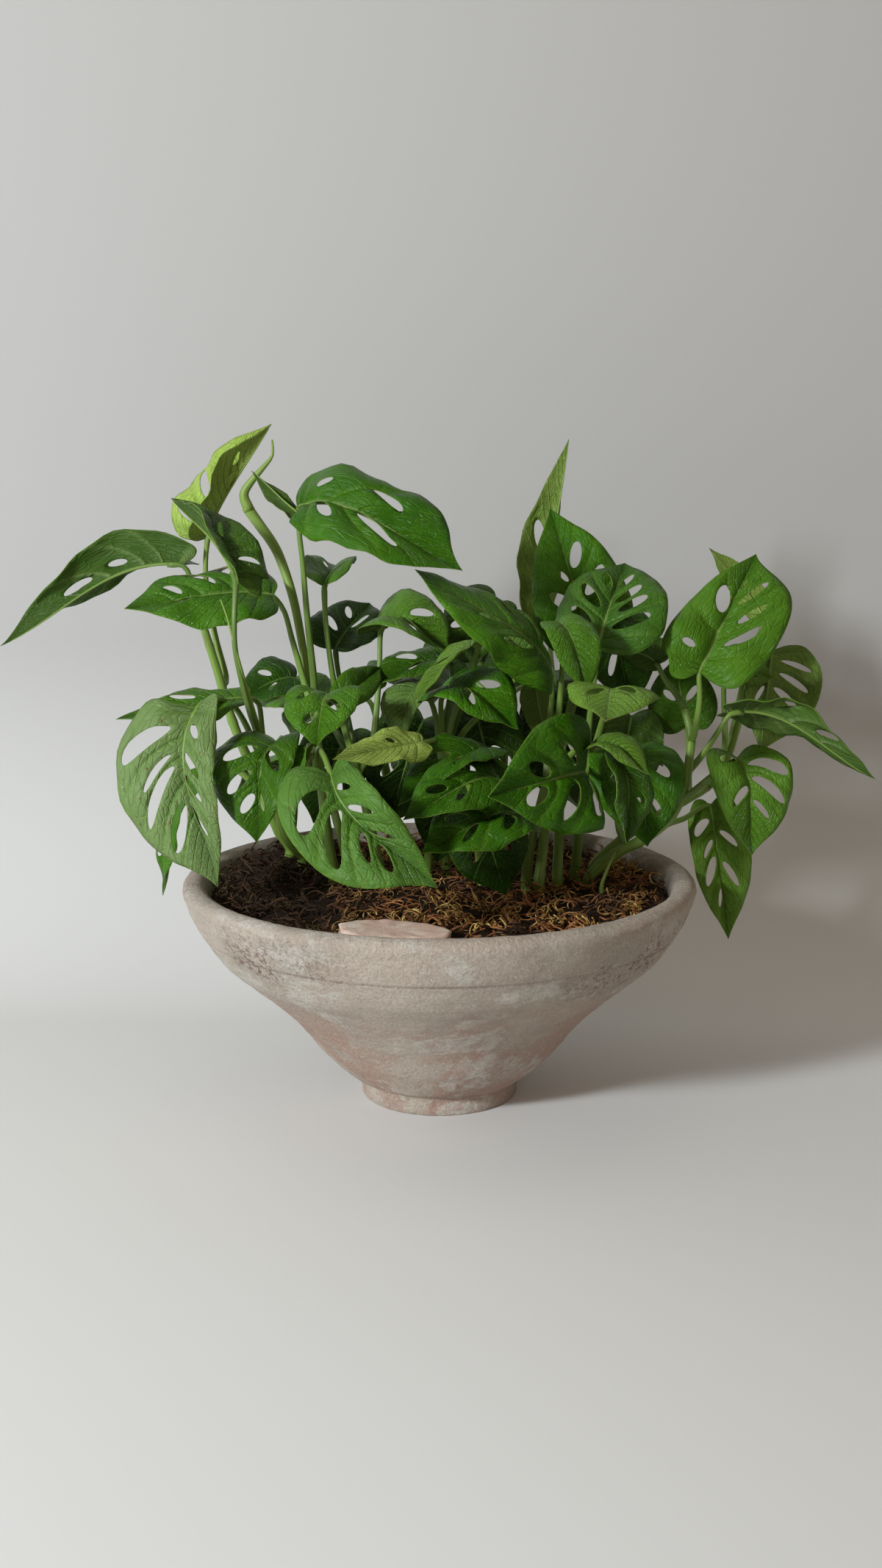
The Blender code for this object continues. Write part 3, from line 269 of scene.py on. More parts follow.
def tubeMesh(path, radii, sides, section=None):
    # Closed tube along a path; section(turn, share) gives a factor on the radius
    verts, uvs = [], []
    ahead = unit(path[1] - path[0])
    side = unit(np.cross(ahead, (0.3, 1.0, 0.2)))
    length = 0.0
    for i, point in enumerate(path):
        if i:
            length += float(np.linalg.norm(point - path[i - 1]))
        ahead = unit(path[min(i + 1, len(path) - 1)] - path[max(i - 1, 0)])
        side = unit(side - ahead * side.dot(ahead))
        other = np.cross(ahead, side)
        share = i / (len(path) - 1)
        for k in range(sides):
            turn = 2 * math.pi * k / sides
            radius = radii[i] * (section(turn, share) if section else 1.0)
            verts.append(point + (side * math.cos(turn) + other * math.sin(turn)) * radius)
            uvs.append((k / sides, length))
    faces = ringFaces(len(path), sides)
    for ring, atLength in ((0, 0.0), (len(path) - 1, length)):
        verts.append(path[ring])
        uvs.append((0.5, atLength))
        faces += fanFaces(ring, sides, len(verts) - 1, ring == 0)
    return verts, faces, uvs


# Leaves: every leafy stem, its path from the soil up, and the leaves it carries
leafShape = dict(
    # half of the margin, as shares: the vein's place on the midrib, its reach along the leaf, and width
    margin=[(0.0, 0.0, 0.0), (0.01, -0.045, 0.30), (0.02, -0.03, 0.63), (0.06, 0.12, 0.93),
            (0.14, 0.33, 1.0), (0.28, 0.56, 0.88), (0.47, 0.745, 0.60), (0.67, 0.865, 0.30),
            (0.85, 0.95, 0.10), (1.0, 1.0, 0.0)],
    thickness=0.05, stepsAlong=46, stepsOut=13, holeCorners=22, veinSpacing=0.075, midribRadius=0.11,
    midribSides=8, quilt=0.19, pucker=0.22,
    # wave and ripple as shares of the leaf's length, dome as a share of its half width
    wave=0.042, ripple=0.011, dome=0.42,
)

# Stems and stalks; a tint says how fresh, how dark and how scarred a green part is
stalks = dict(stemRadius=0.48, footRadius=0.32, stalkRadius=0.21, step=0.45, stemSides=18, stalkSides=14,
              rollSides=20, soilLevel=15.5, stemDepth=2.3, stemTint=(0.25, 0.0, 0.5, 0.0),
              rollTint=(0.45, 0.0, 0.0, 0.0))


def leaf(base, tip, half, faces, fold=12, close=0, arch=0.12, holes=(1, 1), via=(), sweep=0.0, lobe=1.0,
         cut=0.0, shift=0.0):
    # base, tip: ends of the midrib; half: half width; faces: where the upper side looks; fold: rise of
    # each half; close: more fold towards the tip; arch, sweep: bow of the midrib as a share of its length;
    # holes: how many on each side, or each hole's side, place and half length along the blade, middle and
    # half width in shares of the blade; via: the stalk from the stem up, None for a lobe; lobe, cut,
    # shift: size of the lobes, how far the base is cut back and the blade's middle moved to the tip;
    # a pair gives the left and the right
    def pair(value):
        return value if isinstance(value, tuple) else (value, value)

    return dict(base=base, tip=tip, half=pair(half), faces=faces, fold=pair(fold), close=pair(close),
                arch=arch, holes=holes, via=via, sweep=sweep, lobe=pair(lobe), cut=pair(cut),
                shift=pair(shift))


shoots = {
    "shoot_left_back": dict(stem=[(-11.6, 5.6, 0), (-12.6, 5.1, 19.4), (-14.3, 5.0, 23.7),
                                  (-15.8, 5.2, 27.5), (-16.9, 5.2, 31.5), (-17.9, 5.1, 35.0)], leaves=[
        leaf((-19.2, 5.0, 39.4), (-32.7, 3.0, 33.5), (2.7, 3.2), (-0.2, 0.82, 0.57), fold=(32, 48),
             arch=0.08, sweep=-0.05, shift=(0.0, 0.1),
             holes=[(-1, 0.3, 0.04, 0.3, 0.10), (-1, 0.52, 0.07, 0.38, 0.16)],
             via=[(-18.3, 5.0, 36.8), (-18.7, 5.0, 38.4)]),
        leaf((-17.6, 6.0, 41.3), (-12.7, 8.0, 49.8), (3.4, 2.5), (-0.83, -0.26, 0.49), fold=(50, 50),
             arch=0.03, shift=(-0.06, -0.04),
             holes=[(-1, 0.12, 0.03, 0.5, 0.3), (-1, 0.36, 0.04, 0.5, 0.36), (-1, 0.55, 0.025, 0.4, 0.2),
                    (1, 0.62, 0.03, 0.45, 0.26)],
             via=[(-16.4, 6.3, 30.8), (-17.2, 6.5, 34.2), (-17.7, 6.2, 38.4)]),
        leaf((-18.0, 4.2, 23.0), (-21.4, 4.4, 14.0), 2.2, (-0.9, -0.4, 0.2), fold=10, arch=0.1,
             holes=(2, 2), via=[(-14.4, 4.5, 23.0), (-16.2, 4.5, 24.2)]),
    ]),
    "shoot_left_front": dict(stem=[(-10.5, 3.3, 0), (-11.5, 1.7, 19.2), (-12.3, 0.0, 22.9)], leaves=[
        leaf((-14.1, -5.0, 38.9), (-19.7, 3.0, 44.4), (2.2, 2.7), (0.3, -0.45, 0.85), fold=(55, 4),
             close=(0, 50), arch=0.06, lobe=(1.3, 2.4), shift=(0.0, -0.3),
             holes=[(-1, 0.4, 0.05, 0.45, 0.16), (1, 0.2, 0.03, 0.5, 0.28)],
             via=[(-13.0, -3.4, 27.8), (-13.4, -4.4, 29.6), (-13.8, -5.2, 31.7), (-14.2, -5.8, 34.3),
                  (-14.2, -5.8, 36.6)]),
        leaf((-11.4, -5.6, 27.6), (-12.6, -9.2, 21.2), (2.7, 3.6), (-0.3, -0.75, 0.6), fold=(16, 10),
             arch=0.2, holes=(2, 3), via=[(-11.2, -1.0, 25.4), (-11.2, -3.6, 27.6)]),
        leaf((-16.9, -6.0, 30.2), (-15.4, -9.0, 18.0), (2.7, 4.6), (-0.35, -0.85, 0.35), fold=14, arch=0.1,
             sweep=0.07, lobe=(1.4, 0.4), cut=(0.0, 0.05), shift=(0.0, 0.08),
             holes=[(1, 0.16, 0.045, 0.56, 0.34), (1, 0.3, 0.02, 0.42, 0.24), (1, 0.4, 0.035, 0.5, 0.36),
                    (1, 0.6, 0.055, 0.5, 0.36), (-1, 0.14, 0.03, 0.4, 0.2), (-1, 0.32, 0.035, 0.4, 0.27),
                    (-1, 0.44, 0.025, 0.42, 0.27), (-1, 0.62, 0.045, 0.42, 0.3)],
             via=[(-13.2, -0.8, 26.0), (-14.6, -2.6, 29.6), (-16.0, -4.6, 30.6)]),
        leaf((-13.9, -2.6, 30.4), (-22.9, -4.4, 29.1), (2.3, 2.3), (0.0, -0.15, 0.99), fold=(-14, 4),
             arch=0.02, holes=(2, 1), via=[(-12.9, -0.4, 26.8), (-13.1, -1.4, 29.8)]),
    ]),
    "shoot_left_mid": dict(stem=[(-7.9, 0.3, 0), (-8.4, 0.4, 20.0), (-8.9, 0.5, 25.5),
                                 (-9.2, 0.6, 28.6)], leaves=[
        leaf((-12.0, 0.0, 37.5), (-22.3, -3.0, 36.8), (3.7, 4.3), (0.0, -0.45, 0.89), fold=-7, arch=0.05,
             lobe=(0.8, 1.0), cut=(0.04, 0.0),
             holes=[(-1, 0.6, 0.02, 0.3, 0.16), (1, 0.26, 0.035, 0.5, 0.3), (1, 0.46, 0.03, 0.5, 0.3),
                    (1, 0.66, 0.025, 0.4, 0.25)],
             via=[(-9.8, 1.0, 30.5), (-10.3, 1.1, 32.3), (-10.8, 1.0, 34.2), (-11.3, 0.5, 36.3)]),
        leaf((-10.1, -1.0, 43.8), (1.6, -6.0, 39.7), (3.7, 3.8), (0.15, -0.72, 0.68), fold=6, arch=0.14,
             lobe=(0.6, 0.0), cut=(0.0, 0.10), shift=(0.15, 0.08),
             holes=[(-1, 0.13, 0.03, 0.35, 0.1), (-1, 0.42, 0.09, 0.55, 0.07), (1, 0.2, 0.045, 0.36, 0.22),
                    (1, 0.5, 0.08, 0.42, 0.34)],
             via=[(-9.2, 0.5, 31.0), (-9.4, 0.0, 33.8), (-9.6, -0.5, 36.5), (-9.8, -0.9, 39.9),
                  (-10.0, -1.0, 42.0)]),
        leaf((-8.9, -2.2, 42.9), (-13.5, 0.6, 46.4), (0.8, 0.9), (-0.3, 0.6, -0.7), arch=0.05, lobe=0.0,
             cut=0.06, holes=(0, 0), via=None),
        leaf((-7.7, -4.0, 30.8), (-8.5, -8.8, 27.8), 2.8, (-0.2, -0.75, 0.65), fold=8, arch=0.16,
             holes=(1, 2), via=[(-9.0, -0.4, 27.6), (-8.3, -2.4, 29.8)]),
        leaf((-7.2, -12.0, 26.4), (-0.1, -16.0, 19.7), (2.7, 4.4), (0.1, -0.9, 0.35), fold=(42, 10),
             arch=0.08, sweep=0.09,
             holes=[(1, 0.18, 0.055, 0.5, 0.34), (1, 0.34, 0.05, 0.5, 0.38), (1, 0.5, 0.03, 0.4, 0.26),
                    (1, 0.63, 0.045, 0.45, 0.3), (-1, 0.16, 0.025, 0.4, 0.22), (-1, 0.33, 0.03, 0.42, 0.28),
                    (-1, 0.52, 0.025, 0.42, 0.28)],
             via=[(-8.9, -2.5, 24.6), (-8.6, -6.0, 27.2), (-7.9, -9.5, 27.4)]),
        leaf((-8.9, -8.0, 27.2), (-9.9, -10.0, 21.8), 2.0, (-0.8, -0.5, 0.3), fold=30, arch=0.08,
             via=[(-9.5, -2.0, 25.6), (-9.2, -5.5, 27.4)]),
        leaf((-7.2, -3.0, 30.0), (-4.3, 1.6, 32.1), 1.4, (0.3, -0.7, 0.6), fold=15, arch=0.05, holes=(0, 0),
             via=[(-8.8, -0.6, 29.0), (-8.0, -1.7, 30.2)]),
    ]),
    "shoot_centre_left": dict(stem=[(-4.5, 1.6, 0), (-5.2, 1.8, 20.0), (-6.1, 2.0, 24.0)], leaves=[
        leaf((-8.4, 1.0, 38.1), (-7.6, 8.0, 39.0), 2.2, (0.0, -0.3, 0.95), fold=26, arch=0.06,
             via=[(-7.3, 1.6, 28.5), (-7.9, 1.3, 31.7), (-8.3, 1.0, 35.3)]),
        leaf((-7.9, 5.0, 33.0), (-5.4, 9.0, 36.2), 2.9, (-0.2, -0.7, 0.6), fold=14, arch=0.05, holes=(2, 1),
             via=[(-6.9, 3.4, 28.0), (-7.6, 4.6, 31.0)]),
        leaf((-4.5, 4.0, 34.6), (0.8, 2.0, 33.0), 2.9, (0.1, -0.45, 0.85), fold=22, arch=0.26,
             via=[(-5.1, 2.6, 26.0), (-4.7, 3.1, 29.0), (-4.5, 3.6, 32.0)]),
        leaf((-8.8, 9.0, 28.0), (-14.8, 10.6, 28.2), 3.0, (0.1, -0.4, 0.9), fold=10,
             via=[(-6.7, 4.6, 25.2), (-7.6, 7.6, 27.2)]),
        leaf((-10.9, 5.0, 30.8), (-15.0, 3.4, 29.6), 2.3, (0.0, -0.6, 0.8), fold=8, arch=0.1,
             via=[(-8.0, 4.0, 27.2), (-9.8, 5.2, 30.2)]),
        leaf((-7.0, 6.6, 26.4), (-9.8, 5.8, 19.4), 2.9, (-0.1, -0.9, 0.3), arch=0.14,
             via=[(-6.2, 4.4, 23.6), (-6.9, 6.2, 25.8)]),
    ]),
    "shoot_centre": dict(stem=[(0.5, 3.5, 0), (0.3, 3.0, 20.0), (0.2, 2.0, 24.5)], leaves=[
        leaf((0.1, -1.0, 30.3), (5.6, -4.6, 28.4), 3.2, (0.2, -0.5, 0.85), fold=10, arch=0.22,
             via=[(0.2, 1.2, 27.2), (0.1, 0.0, 29.2)]),
        leaf((-1.4, 0.2, 30.9), (-2.9, -1.8, 26.8), 1.9, (-0.6, -0.7, 0.4), fold=18, arch=0.16,
             holes=(1, 0), via=[(-0.3, 1.4, 28.5), (-1.0, 0.8, 30.4)]),
        leaf((2.8, -2.0, 34.4), (-1.9, -6.0, 30.5), (1.1, 1.9), (-0.4, -0.5, 0.7), fold=(34, -20),
             arch=0.06, holes=(0, 1), via=[(1.0, 0.8, 28.5), (2.3, -0.6, 32.0)]),
        leaf((0.9, 3.0, 32.2), (-5.4, 0.2, 30.6), 2.1, (0.0, -0.3, 0.95), fold=10,
             via=[(0.5, 2.6, 28.0), (0.9, 3.0, 30.6)]),
        leaf((6.6, 5.2, 32.4), (2.2, 6.0, 35.4), 2.7, (0.1, -0.6, 0.8), arch=0.1,
             via=[(2.0, 3.2, 27.2), (5.6, 4.6, 30.6)]),
        leaf((1.2, 2.2, 23.8), (-0.2, 0.8, 17.4), 2.5, (-0.1, -0.9, 0.3), fold=10, holes=(0, 0),
             via=[(1.0, 3.1, 22.6)]),
        leaf((-1.2, 5.4, 27.6), (-4.0, 4.4, 19.4), 3.2, (-0.1, -0.9, 0.3), arch=0.14,
             via=[(-0.4, 4.2, 24.6), (-0.9, 5.2, 27.0)]),
        leaf((2.6, 6.6, 28.4), (4.4, 5.6, 20.0), 3.3, (0.1, -0.9, 0.3), arch=0.14,
             via=[(1.2, 4.4, 25.4), (2.3, 6.2, 27.8)]),
        leaf((4.4, 7.4, 36.4), (0.6, 6.6, 31.4), 2.7, (-0.1, -0.8, 0.5),
             via=[(1.6, 4.0, 28.6), (4.0, 6.8, 33.6)]),
    ]),
    "shoot_front": dict(stem=[(3.2, 0.5, 0), (2.8, -0.5, 20.0), (2.5, -1.6, 23.0)], leaves=[
        leaf((3.5, -5.8, 26.8), (-2.8, -12.0, 24.4), 2.5, (-0.4, -0.6, 0.7), fold=16, arch=0.1,
             via=[(2.8, -2.8, 25.0), (3.3, -4.6, 26.5)]),
        leaf((3.9, -8.6, 25.6), (-2.4, -13.8, 23.8), 2.4, (-0.1, -0.7, 0.7), fold=6, arch=0.1, holes=(1, 2),
             via=[(3.0, -4.0, 23.8), (3.9, -7.0, 25.4)]),
        leaf((5.6, -8.0, 22.9), (-1.2, -13.2, 21.4), 2.9, (-0.1, -0.65, 0.75), fold=4, holes=(2, 2),
             via=[(3.2, -3.4, 22.4), (4.8, -6.4, 23.1)]),
        leaf((-1.2, -9.0, 28.2), (-7.0, -14.0, 27.9), (1.5, 1.4), (0.0, -0.5, 0.87), fold=(-15, 22),
             arch=0.0, holes=[(1, 0.35, 0.03, 0.35, 0.15)], via=[(1.6, -3.2, 25.4), (-0.1, -6.6, 27.8)]),
        leaf((3.2, -4.6, 22.6), (4.7, -7.0, 16.9), 3.1, (-0.3, -0.85, 0.3), fold=10,
             via=[(2.9, -2.2, 21.6), (3.0, -3.6, 22.3)]),
    ]),
    "shoot_right_front": dict(stem=[(7.3, -2.2, 0), (7.7, -1.0, 19.9), (7.9, 0.2, 24.0)], leaves=[
        leaf((8.3, 1.0, 31.6), (-1.7, -5.0, 39.7), (3.3, 3.7), (-0.2, -0.7, 0.65), fold=(2, -40), arch=0.1,
             lobe=(0.4, 1.0), cut=(0.05, 0.0), shift=(0.1, 0.0),
             holes=[(-1, 0.33, 0.045, 0.38, 0.26), (-1, 0.56, 0.045, 0.36, 0.24), (1, 0.25, 0.03, 0.4, 0.2),
                    (1, 0.42, 0.03, 0.4, 0.25)], via=[(8.1, 1.2, 27.5), (8.3, 1.3, 29.8)]),
        leaf((8.5, -1.2, 35.6), (10.5, -4.7, 30.8), 1.9, (0.2, -0.85, 0.5), arch=0.2, holes=(0, 0),
             via=[(8.7, 1.1, 28.0), (9.0, 0.7, 32.0), (8.8, -0.4, 34.4)]),
        leaf((10.2, -6.0, 25.6), (3.2, -14.0, 25.4), (4.2, 4.2), (0.6, -0.7, 0.35), fold=(0, 8),
             shift=(-0.04, -0.04),
             holes=[(-1, 0.2, 0.05, 0.45, 0.33), (-1, 0.42, 0.05, 0.48, 0.36), (-1, 0.66, 0.06, 0.45, 0.33),
                    (1, 0.35, 0.04, 0.4, 0.25), (1, 0.6, 0.05, 0.42, 0.3)],
             via=[(8.9, -2.4, 24.8), (9.9, -4.5, 25.8)]),
        leaf((10.7, -6.8, 27.5), (14.4, -9.2, 26.0), 1.6, (0.3, -0.5, 0.8), fold=10, arch=0.2, holes=(0, 0),
             via=[(9.3, -3.0, 26.2), (10.3, -5.4, 27.6)]),
        leaf((12.2, -8.0, 26.9), (12.9, -9.4, 21.2), 1.9, (0.6, -0.75, 0.2), fold=16, arch=0.14,
             holes=(1, 0), via=[(9.9, -3.6, 26.8), (11.4, -6.6, 27.6)]),
    ]),
    "shoot_right_mid": dict(stem=[(8.8, 0.3, 0), (9.0, 2.0, 20.0), (9.3, 5.0, 25.0)], leaves=[
        leaf((11.6, 9.0, 33.1), (8.6, 11.0, 43.4), (3.7, 4.0), (0.0, -0.9, 0.4), fold=8, arch=0.06,
             lobe=(1.6, 1.0), shift=(-0.08, -0.06),
             holes=[(1, 0.62, 0.055, 0.42, 0.3), (1, 0.42, 0.045, 0.5, 0.3), (-1, 0.5, 0.03, 0.3, 0.15),
                    (-1, 0.34, 0.05, 0.4, 0.3)], via=[(10.2, 7.4, 29.0), (11.1, 8.6, 31.4)]),
        leaf((8.8, 13.0, 34.4), (10.2, 14.0, 48.7), (3.2, 2.7), (-0.5, 0.85, 0.0), fold=(45, 20), arch=0.05,
             shift=(0.0, -0.12), holes=[(1, 0.5, 0.05, 0.5, 0.26), (-1, 0.6, 0.04, 0.3, 0.14)],
             via=[(9.0, 8.4, 29.0), (8.8, 12.0, 32.5)]),
        leaf((7.3, 4.0, 30.4), (8.1, 3.4, 26.2), 1.4, (-0.4, 0.8, 0.0), fold=8, arch=0.06, holes=(0, 0),
             via=[(8.6, 5.4, 27.8), (7.9, 4.9, 30.0)]),
        leaf((9.4, 8.6, 29.4), (8.8, 7.6, 20.4), 3.4, (0.1, -0.9, 0.3),
             via=[(9.2, 7.4, 26.6), (9.5, 8.4, 28.8)]),
        leaf((12.6, 7.8, 35.2), (14.8, 6.8, 28.2), 3.1, (0.2, -0.8, 0.5),
             via=[(10.6, 6.8, 29.4), (12.2, 7.6, 33.4)]),
    ]),
    "shoot_right_thin": dict(stem=[(10.3, 2.3, 0), (10.5, 2.0, 19.4), (10.9, 1.5, 24.0)], leaves=[
        leaf((11.6, 0.5, 33.5), (14.1, 7.0, 39.4), (3.7, 4.6), (-0.1, -0.56, 0.82), fold=8, arch=0.06,
             holes=(3, 4), via=[(11.1, 1.4, 28.0), (11.4, 0.8, 31.5)]),
        leaf((12.0, -6.4, 31.0), (11.0, -12.6, 30.2), (3.4, 3.0), (0.0, -0.35, 0.94), fold=-4, arch=0.16,
             via=[(11.4, 0.2, 26.2), (11.9, -3.0, 29.6)]),
    ]),
    "shoot_right": dict(stem=[(11.2, 0.0, 0), (13.2, 0.0, 18.4), (15.2, 0.2, 19.4), (17.2, 0.8, 20.9),
                              (18.3, 1.6, 22.9), (18.7, 2.2, 25.0), (18.9, 3.0, 26.8),
                              (18.5, 3.8, 28.6)], leaves=[
        leaf((16.5, 4.2, 32.0), (12.8, 3.6, 33.4), 2.0, (0.0, 0.6, 0.7), fold=14, arch=0.1, holes=(1, 0),
             via=[(17.9, 4.0, 29.7), (17.0, 4.1, 30.8)]),
        leaf((19.1, 1.0, 31.8), (23.7, 5.0, 40.2), (3.5, 4.4), (0.0, -0.8, 0.5), fold=(14, 6), arch=0.04,
             lobe=(2.2, 0.8), shift=(-0.2, 0.22),
             holes=[(-1, 0.58, 0.08, 0.42, 0.32), (-1, 0.2, 0.03, 0.5, 0.15), (1, 0.72, 0.03, 0.25, 0.12),
                    (1, 0.6, 0.04, 0.5, 0.3), (1, 0.42, 0.035, 0.5, 0.2), (1, 0.25, 0.035, 0.45, 0.25)],
             via=[(19.0, 1.7, 27.4), (19.2, 1.2, 29.6)]),
        leaf((21.8, 3.0, 28.5), (32.4, 1.0, 23.8), 2.6, (0.3, 0.5, 0.8), fold=4, arch=0.11,
             holes=[(-1, 0.35, 0.04, 0.45, 0.25), (-1, 0.55, 0.04, 0.45, 0.25), (1, 0.3, 0.04, 0.45, 0.25),
                    (1, 0.6, 0.035, 0.45, 0.25)], via=[(19.6, 3.0, 25.0), (20.7, 3.1, 26.6)]),
        leaf((22.1, 1.0, 25.4), (22.9, -2.0, 18.7), (3.2, 3.0), (0.1, -0.85, 0.5), arch=0.22,
             shift=(0.0, -0.1),
             holes=[(-1, 0.2, 0.05, 0.5, 0.4), (-1, 0.38, 0.045, 0.5, 0.4), (-1, 0.55, 0.03, 0.4, 0.3),
                    (1, 0.15, 0.05, 0.45, 0.25), (1, 0.45, 0.04, 0.4, 0.35)],
             via=[(18.9, 1.2, 22.8), (20.6, 0.8, 24.4)]),
        leaf((20.8, 5.0, 21.0), (22.2, 3.0, 10.9), (2.5, 2.1), (0.0, -0.95, 0.2), fold=8, arch=0.04,
             shift=(0.0, -0.04),
             holes=[(1, 0.16, 0.045, 0.5, 0.33), (1, 0.32, 0.03, 0.4, 0.25), (1, 0.48, 0.05, 0.5, 0.33),
                    (1, 0.68, 0.04, 0.4, 0.28), (-1, 0.25, 0.03, 0.4, 0.25), (-1, 0.5, 0.04, 0.45, 0.3)],
             via=[(17.0, 1.6, 20.2), (18.6, 3.0, 20.4), (19.9, 4.4, 20.9)]),
        leaf((14.2, -1.0, 26.2), (14.9, -4.6, 19.9), (3.0, 4.2), (0.15, -0.85, 0.45), fold=10, arch=0.18,
             holes=(2, 2), via=[(13.3, 0.6, 20.6), (13.6, 0.2, 24.4)]),
    ]),
    "shoot_right_back": dict(stem=[(12.0, 5.0, 0), (15.2, 5.8, 19.0), (18.6, 6.4, 20.8),
                                   (20.9, 6.4, 22.2)], leaves=[
        leaf((25.7, 8.0, 32.6), (24.9, 7.0, 24.8), (1.7, 4.1), (0.2, 0.9, 0.2), fold=6, arch=0.05,
             holes=[(1, 0.13, 0.025, 0.5, 0.3), (1, 0.28, 0.03, 0.5, 0.3), (1, 0.43, 0.035, 0.45, 0.3),
                    (1, 0.6, 0.03, 0.4, 0.25), (-1, 0.42, 0.04, 0.45, 0.25)],
             via=[(22.2, 7.0, 23.9), (23.2, 7.7, 26.6), (24.2, 8.6, 30.5)]),
        leaf((21.8, 6.2, 31.6), (25.6, 7.0, 30.6), 2.0, (0.0, -0.7, 0.7), fold=8, arch=0.1,
             via=[(22.0, 6.6, 25.0), (21.8, 6.3, 29.4)]),
        leaf((25.4, 9.4, 34.8), (20.9, 9.8, 40.4), 1.3, (-0.3, 0.6, 0.7), fold=20, arch=0.1, holes=(0, 0),
             via=[(22.6, 7.6, 25.6), (24.0, 9.4, 31.0)]),
        leaf((19.3, 8.4, 26.6), (18.4, 9.4, 32.0), 2.7, (-0.2, -0.9, 0.2), fold=8, arch=0.05,
             via=[(19.4, 7.0, 22.0), (19.5, 8.0, 24.6)]),
        leaf((15.0, 8.6, 27.4), (14.0, 8.0, 20.2), 2.9, (-0.1, -0.9, 0.3),
             via=[(15.6, 6.8, 22.4), (15.2, 8.3, 26.4)]),
    ]),
    "shoot_back_left": dict(stem=[(-3.5, 8.5, 0), (-4.0, 9.4, 21.0), (-4.6, 10.2, 25.0)], leaves=[
        leaf((-6.4, 13.0, 28.4), (-12.6, 19.4, 24.0), 3.9, (-0.3, 0.3, 0.9), fold=8, holes=(1, 0),
             via=[(-5.4, 11.8, 27.8)]),
        leaf((-3.0, 13.6, 29.4), (-0.6, 22.0, 26.4), 3.8, (0.1, 0.3, 0.9), fold=8, holes=(1, 0),
             via=[(-4.2, 11.6, 28.2)]),
        leaf((-9.6, 12.8, 23.0), (-17.0, 15.0, 19.4), 3.4, (-0.3, 0.2, 0.9), fold=8, arch=0.14,
             holes=(1, 0), via=[(-6.0, 10.8, 22.4)]),
        leaf((-2.0, 12.4, 22.2), (1.4, 18.8, 18.2), 2.9, (0.1, 0.4, 0.9), fold=8, arch=0.14, holes=(1, 0),
             via=[(-3.2, 11.0, 21.8)]),
    ]),
    "shoot_back_right": dict(stem=[(5.0, 8.0, 0), (5.0, 9.2, 21.0), (5.2, 10.2, 26.0)], leaves=[
        leaf((7.0, 13.4, 29.4), (9.6, 21.6, 25.4), 3.9, (0.2, 0.3, 0.9), fold=8, holes=(1, 0),
             via=[(5.8, 11.8, 28.6)]),
        leaf((2.4, 12.0, 30.2), (0.6, 18.6, 31.6), 3.4, (0.0, 0.2, 0.95), arch=0.1, holes=(1, 0),
             via=[(4.2, 11.0, 28.4)]),
        leaf((11.4, 12.4, 25.6), (18.6, 16.4, 22.0), 3.6, (0.3, 0.2, 0.9), fold=8, holes=(1, 0),
             via=[(7.4, 11.2, 25.0)]),
        leaf((7.6, 12.0, 21.4), (12.4, 16.8, 17.8), 2.7, (0.2, 0.4, 0.9), fold=8, arch=0.14, holes=(1, 0),
             via=[(6.2, 10.8, 21.2)]),
    ]),
}

# New leaf still rolled up, thin shoots and second stems: path, and radius at its two ends
rolledShoots = {
    "shoot_left_mid": [
        dict(path=[(-9.2, 0.6, 28.2), (-9.6, 1.6, 30.5), (-10.1, 2.2, 33.2), (-10.8, 2.9, 36.8),
                   (-11.7, 3.5, 39.6), (-12.4, 4.0, 41.0), (-13.4, 4.2, 42.4), (-14.3, 4.2, 43.7)],
             radii=(0.26, 0.44)),
        dict(path=[(-14.1, 4.2, 43.4), (-14.5, 4.2, 44.6), (-13.9, 4.1, 45.6), (-13.0, 4.0, 46.6),
                   (-12.3, 4.0, 47.5), (-12.3, 4.0, 48.6)], radii=(0.46, 0.07)),
        dict(path=[(-6.6, -0.6, 0), (-7.3, -0.4, 19.6), (-8.6, 0.5, 24.4)], radii=(0.40, 0.30)),
    ],
    "shoot_left_front": [
        dict(path=[(-12.6, -2.6, 26.4), (-13.2, -4.0, 29.5), (-13.9, -5.6, 33.0), (-14.6, -6.0, 36.2),
                   (-15.1, -6.0, 37.7)], radii=(0.24, 0.06)),
    ],
    "shoot_centre": [dict(path=[(-0.9, 2.6, 0), (-0.6, 2.5, 19.8), (0.2, 2.1, 24.2)], radii=(0.40, 0.30))],
    "shoot_front": [dict(path=[(4.6, -0.6, 0), (4.0, -1.0, 19.6), (2.6, -1.5, 22.9)], radii=(0.40, 0.30))],
    "shoot_right_front": [
        dict(path=[(6.4, -0.9, 0), (6.8, -0.6, 19.5), (7.8, 0.0, 23.6)], radii=(0.45, 0.30)),
    ],
    "shoot_sprout": [
        dict(path=[(11.9, -2.3, 0), (12.3, -2.1, 17.6), (12.9, -1.8, 18.9)], radii=(0.24, 0.08)),
    ],
}
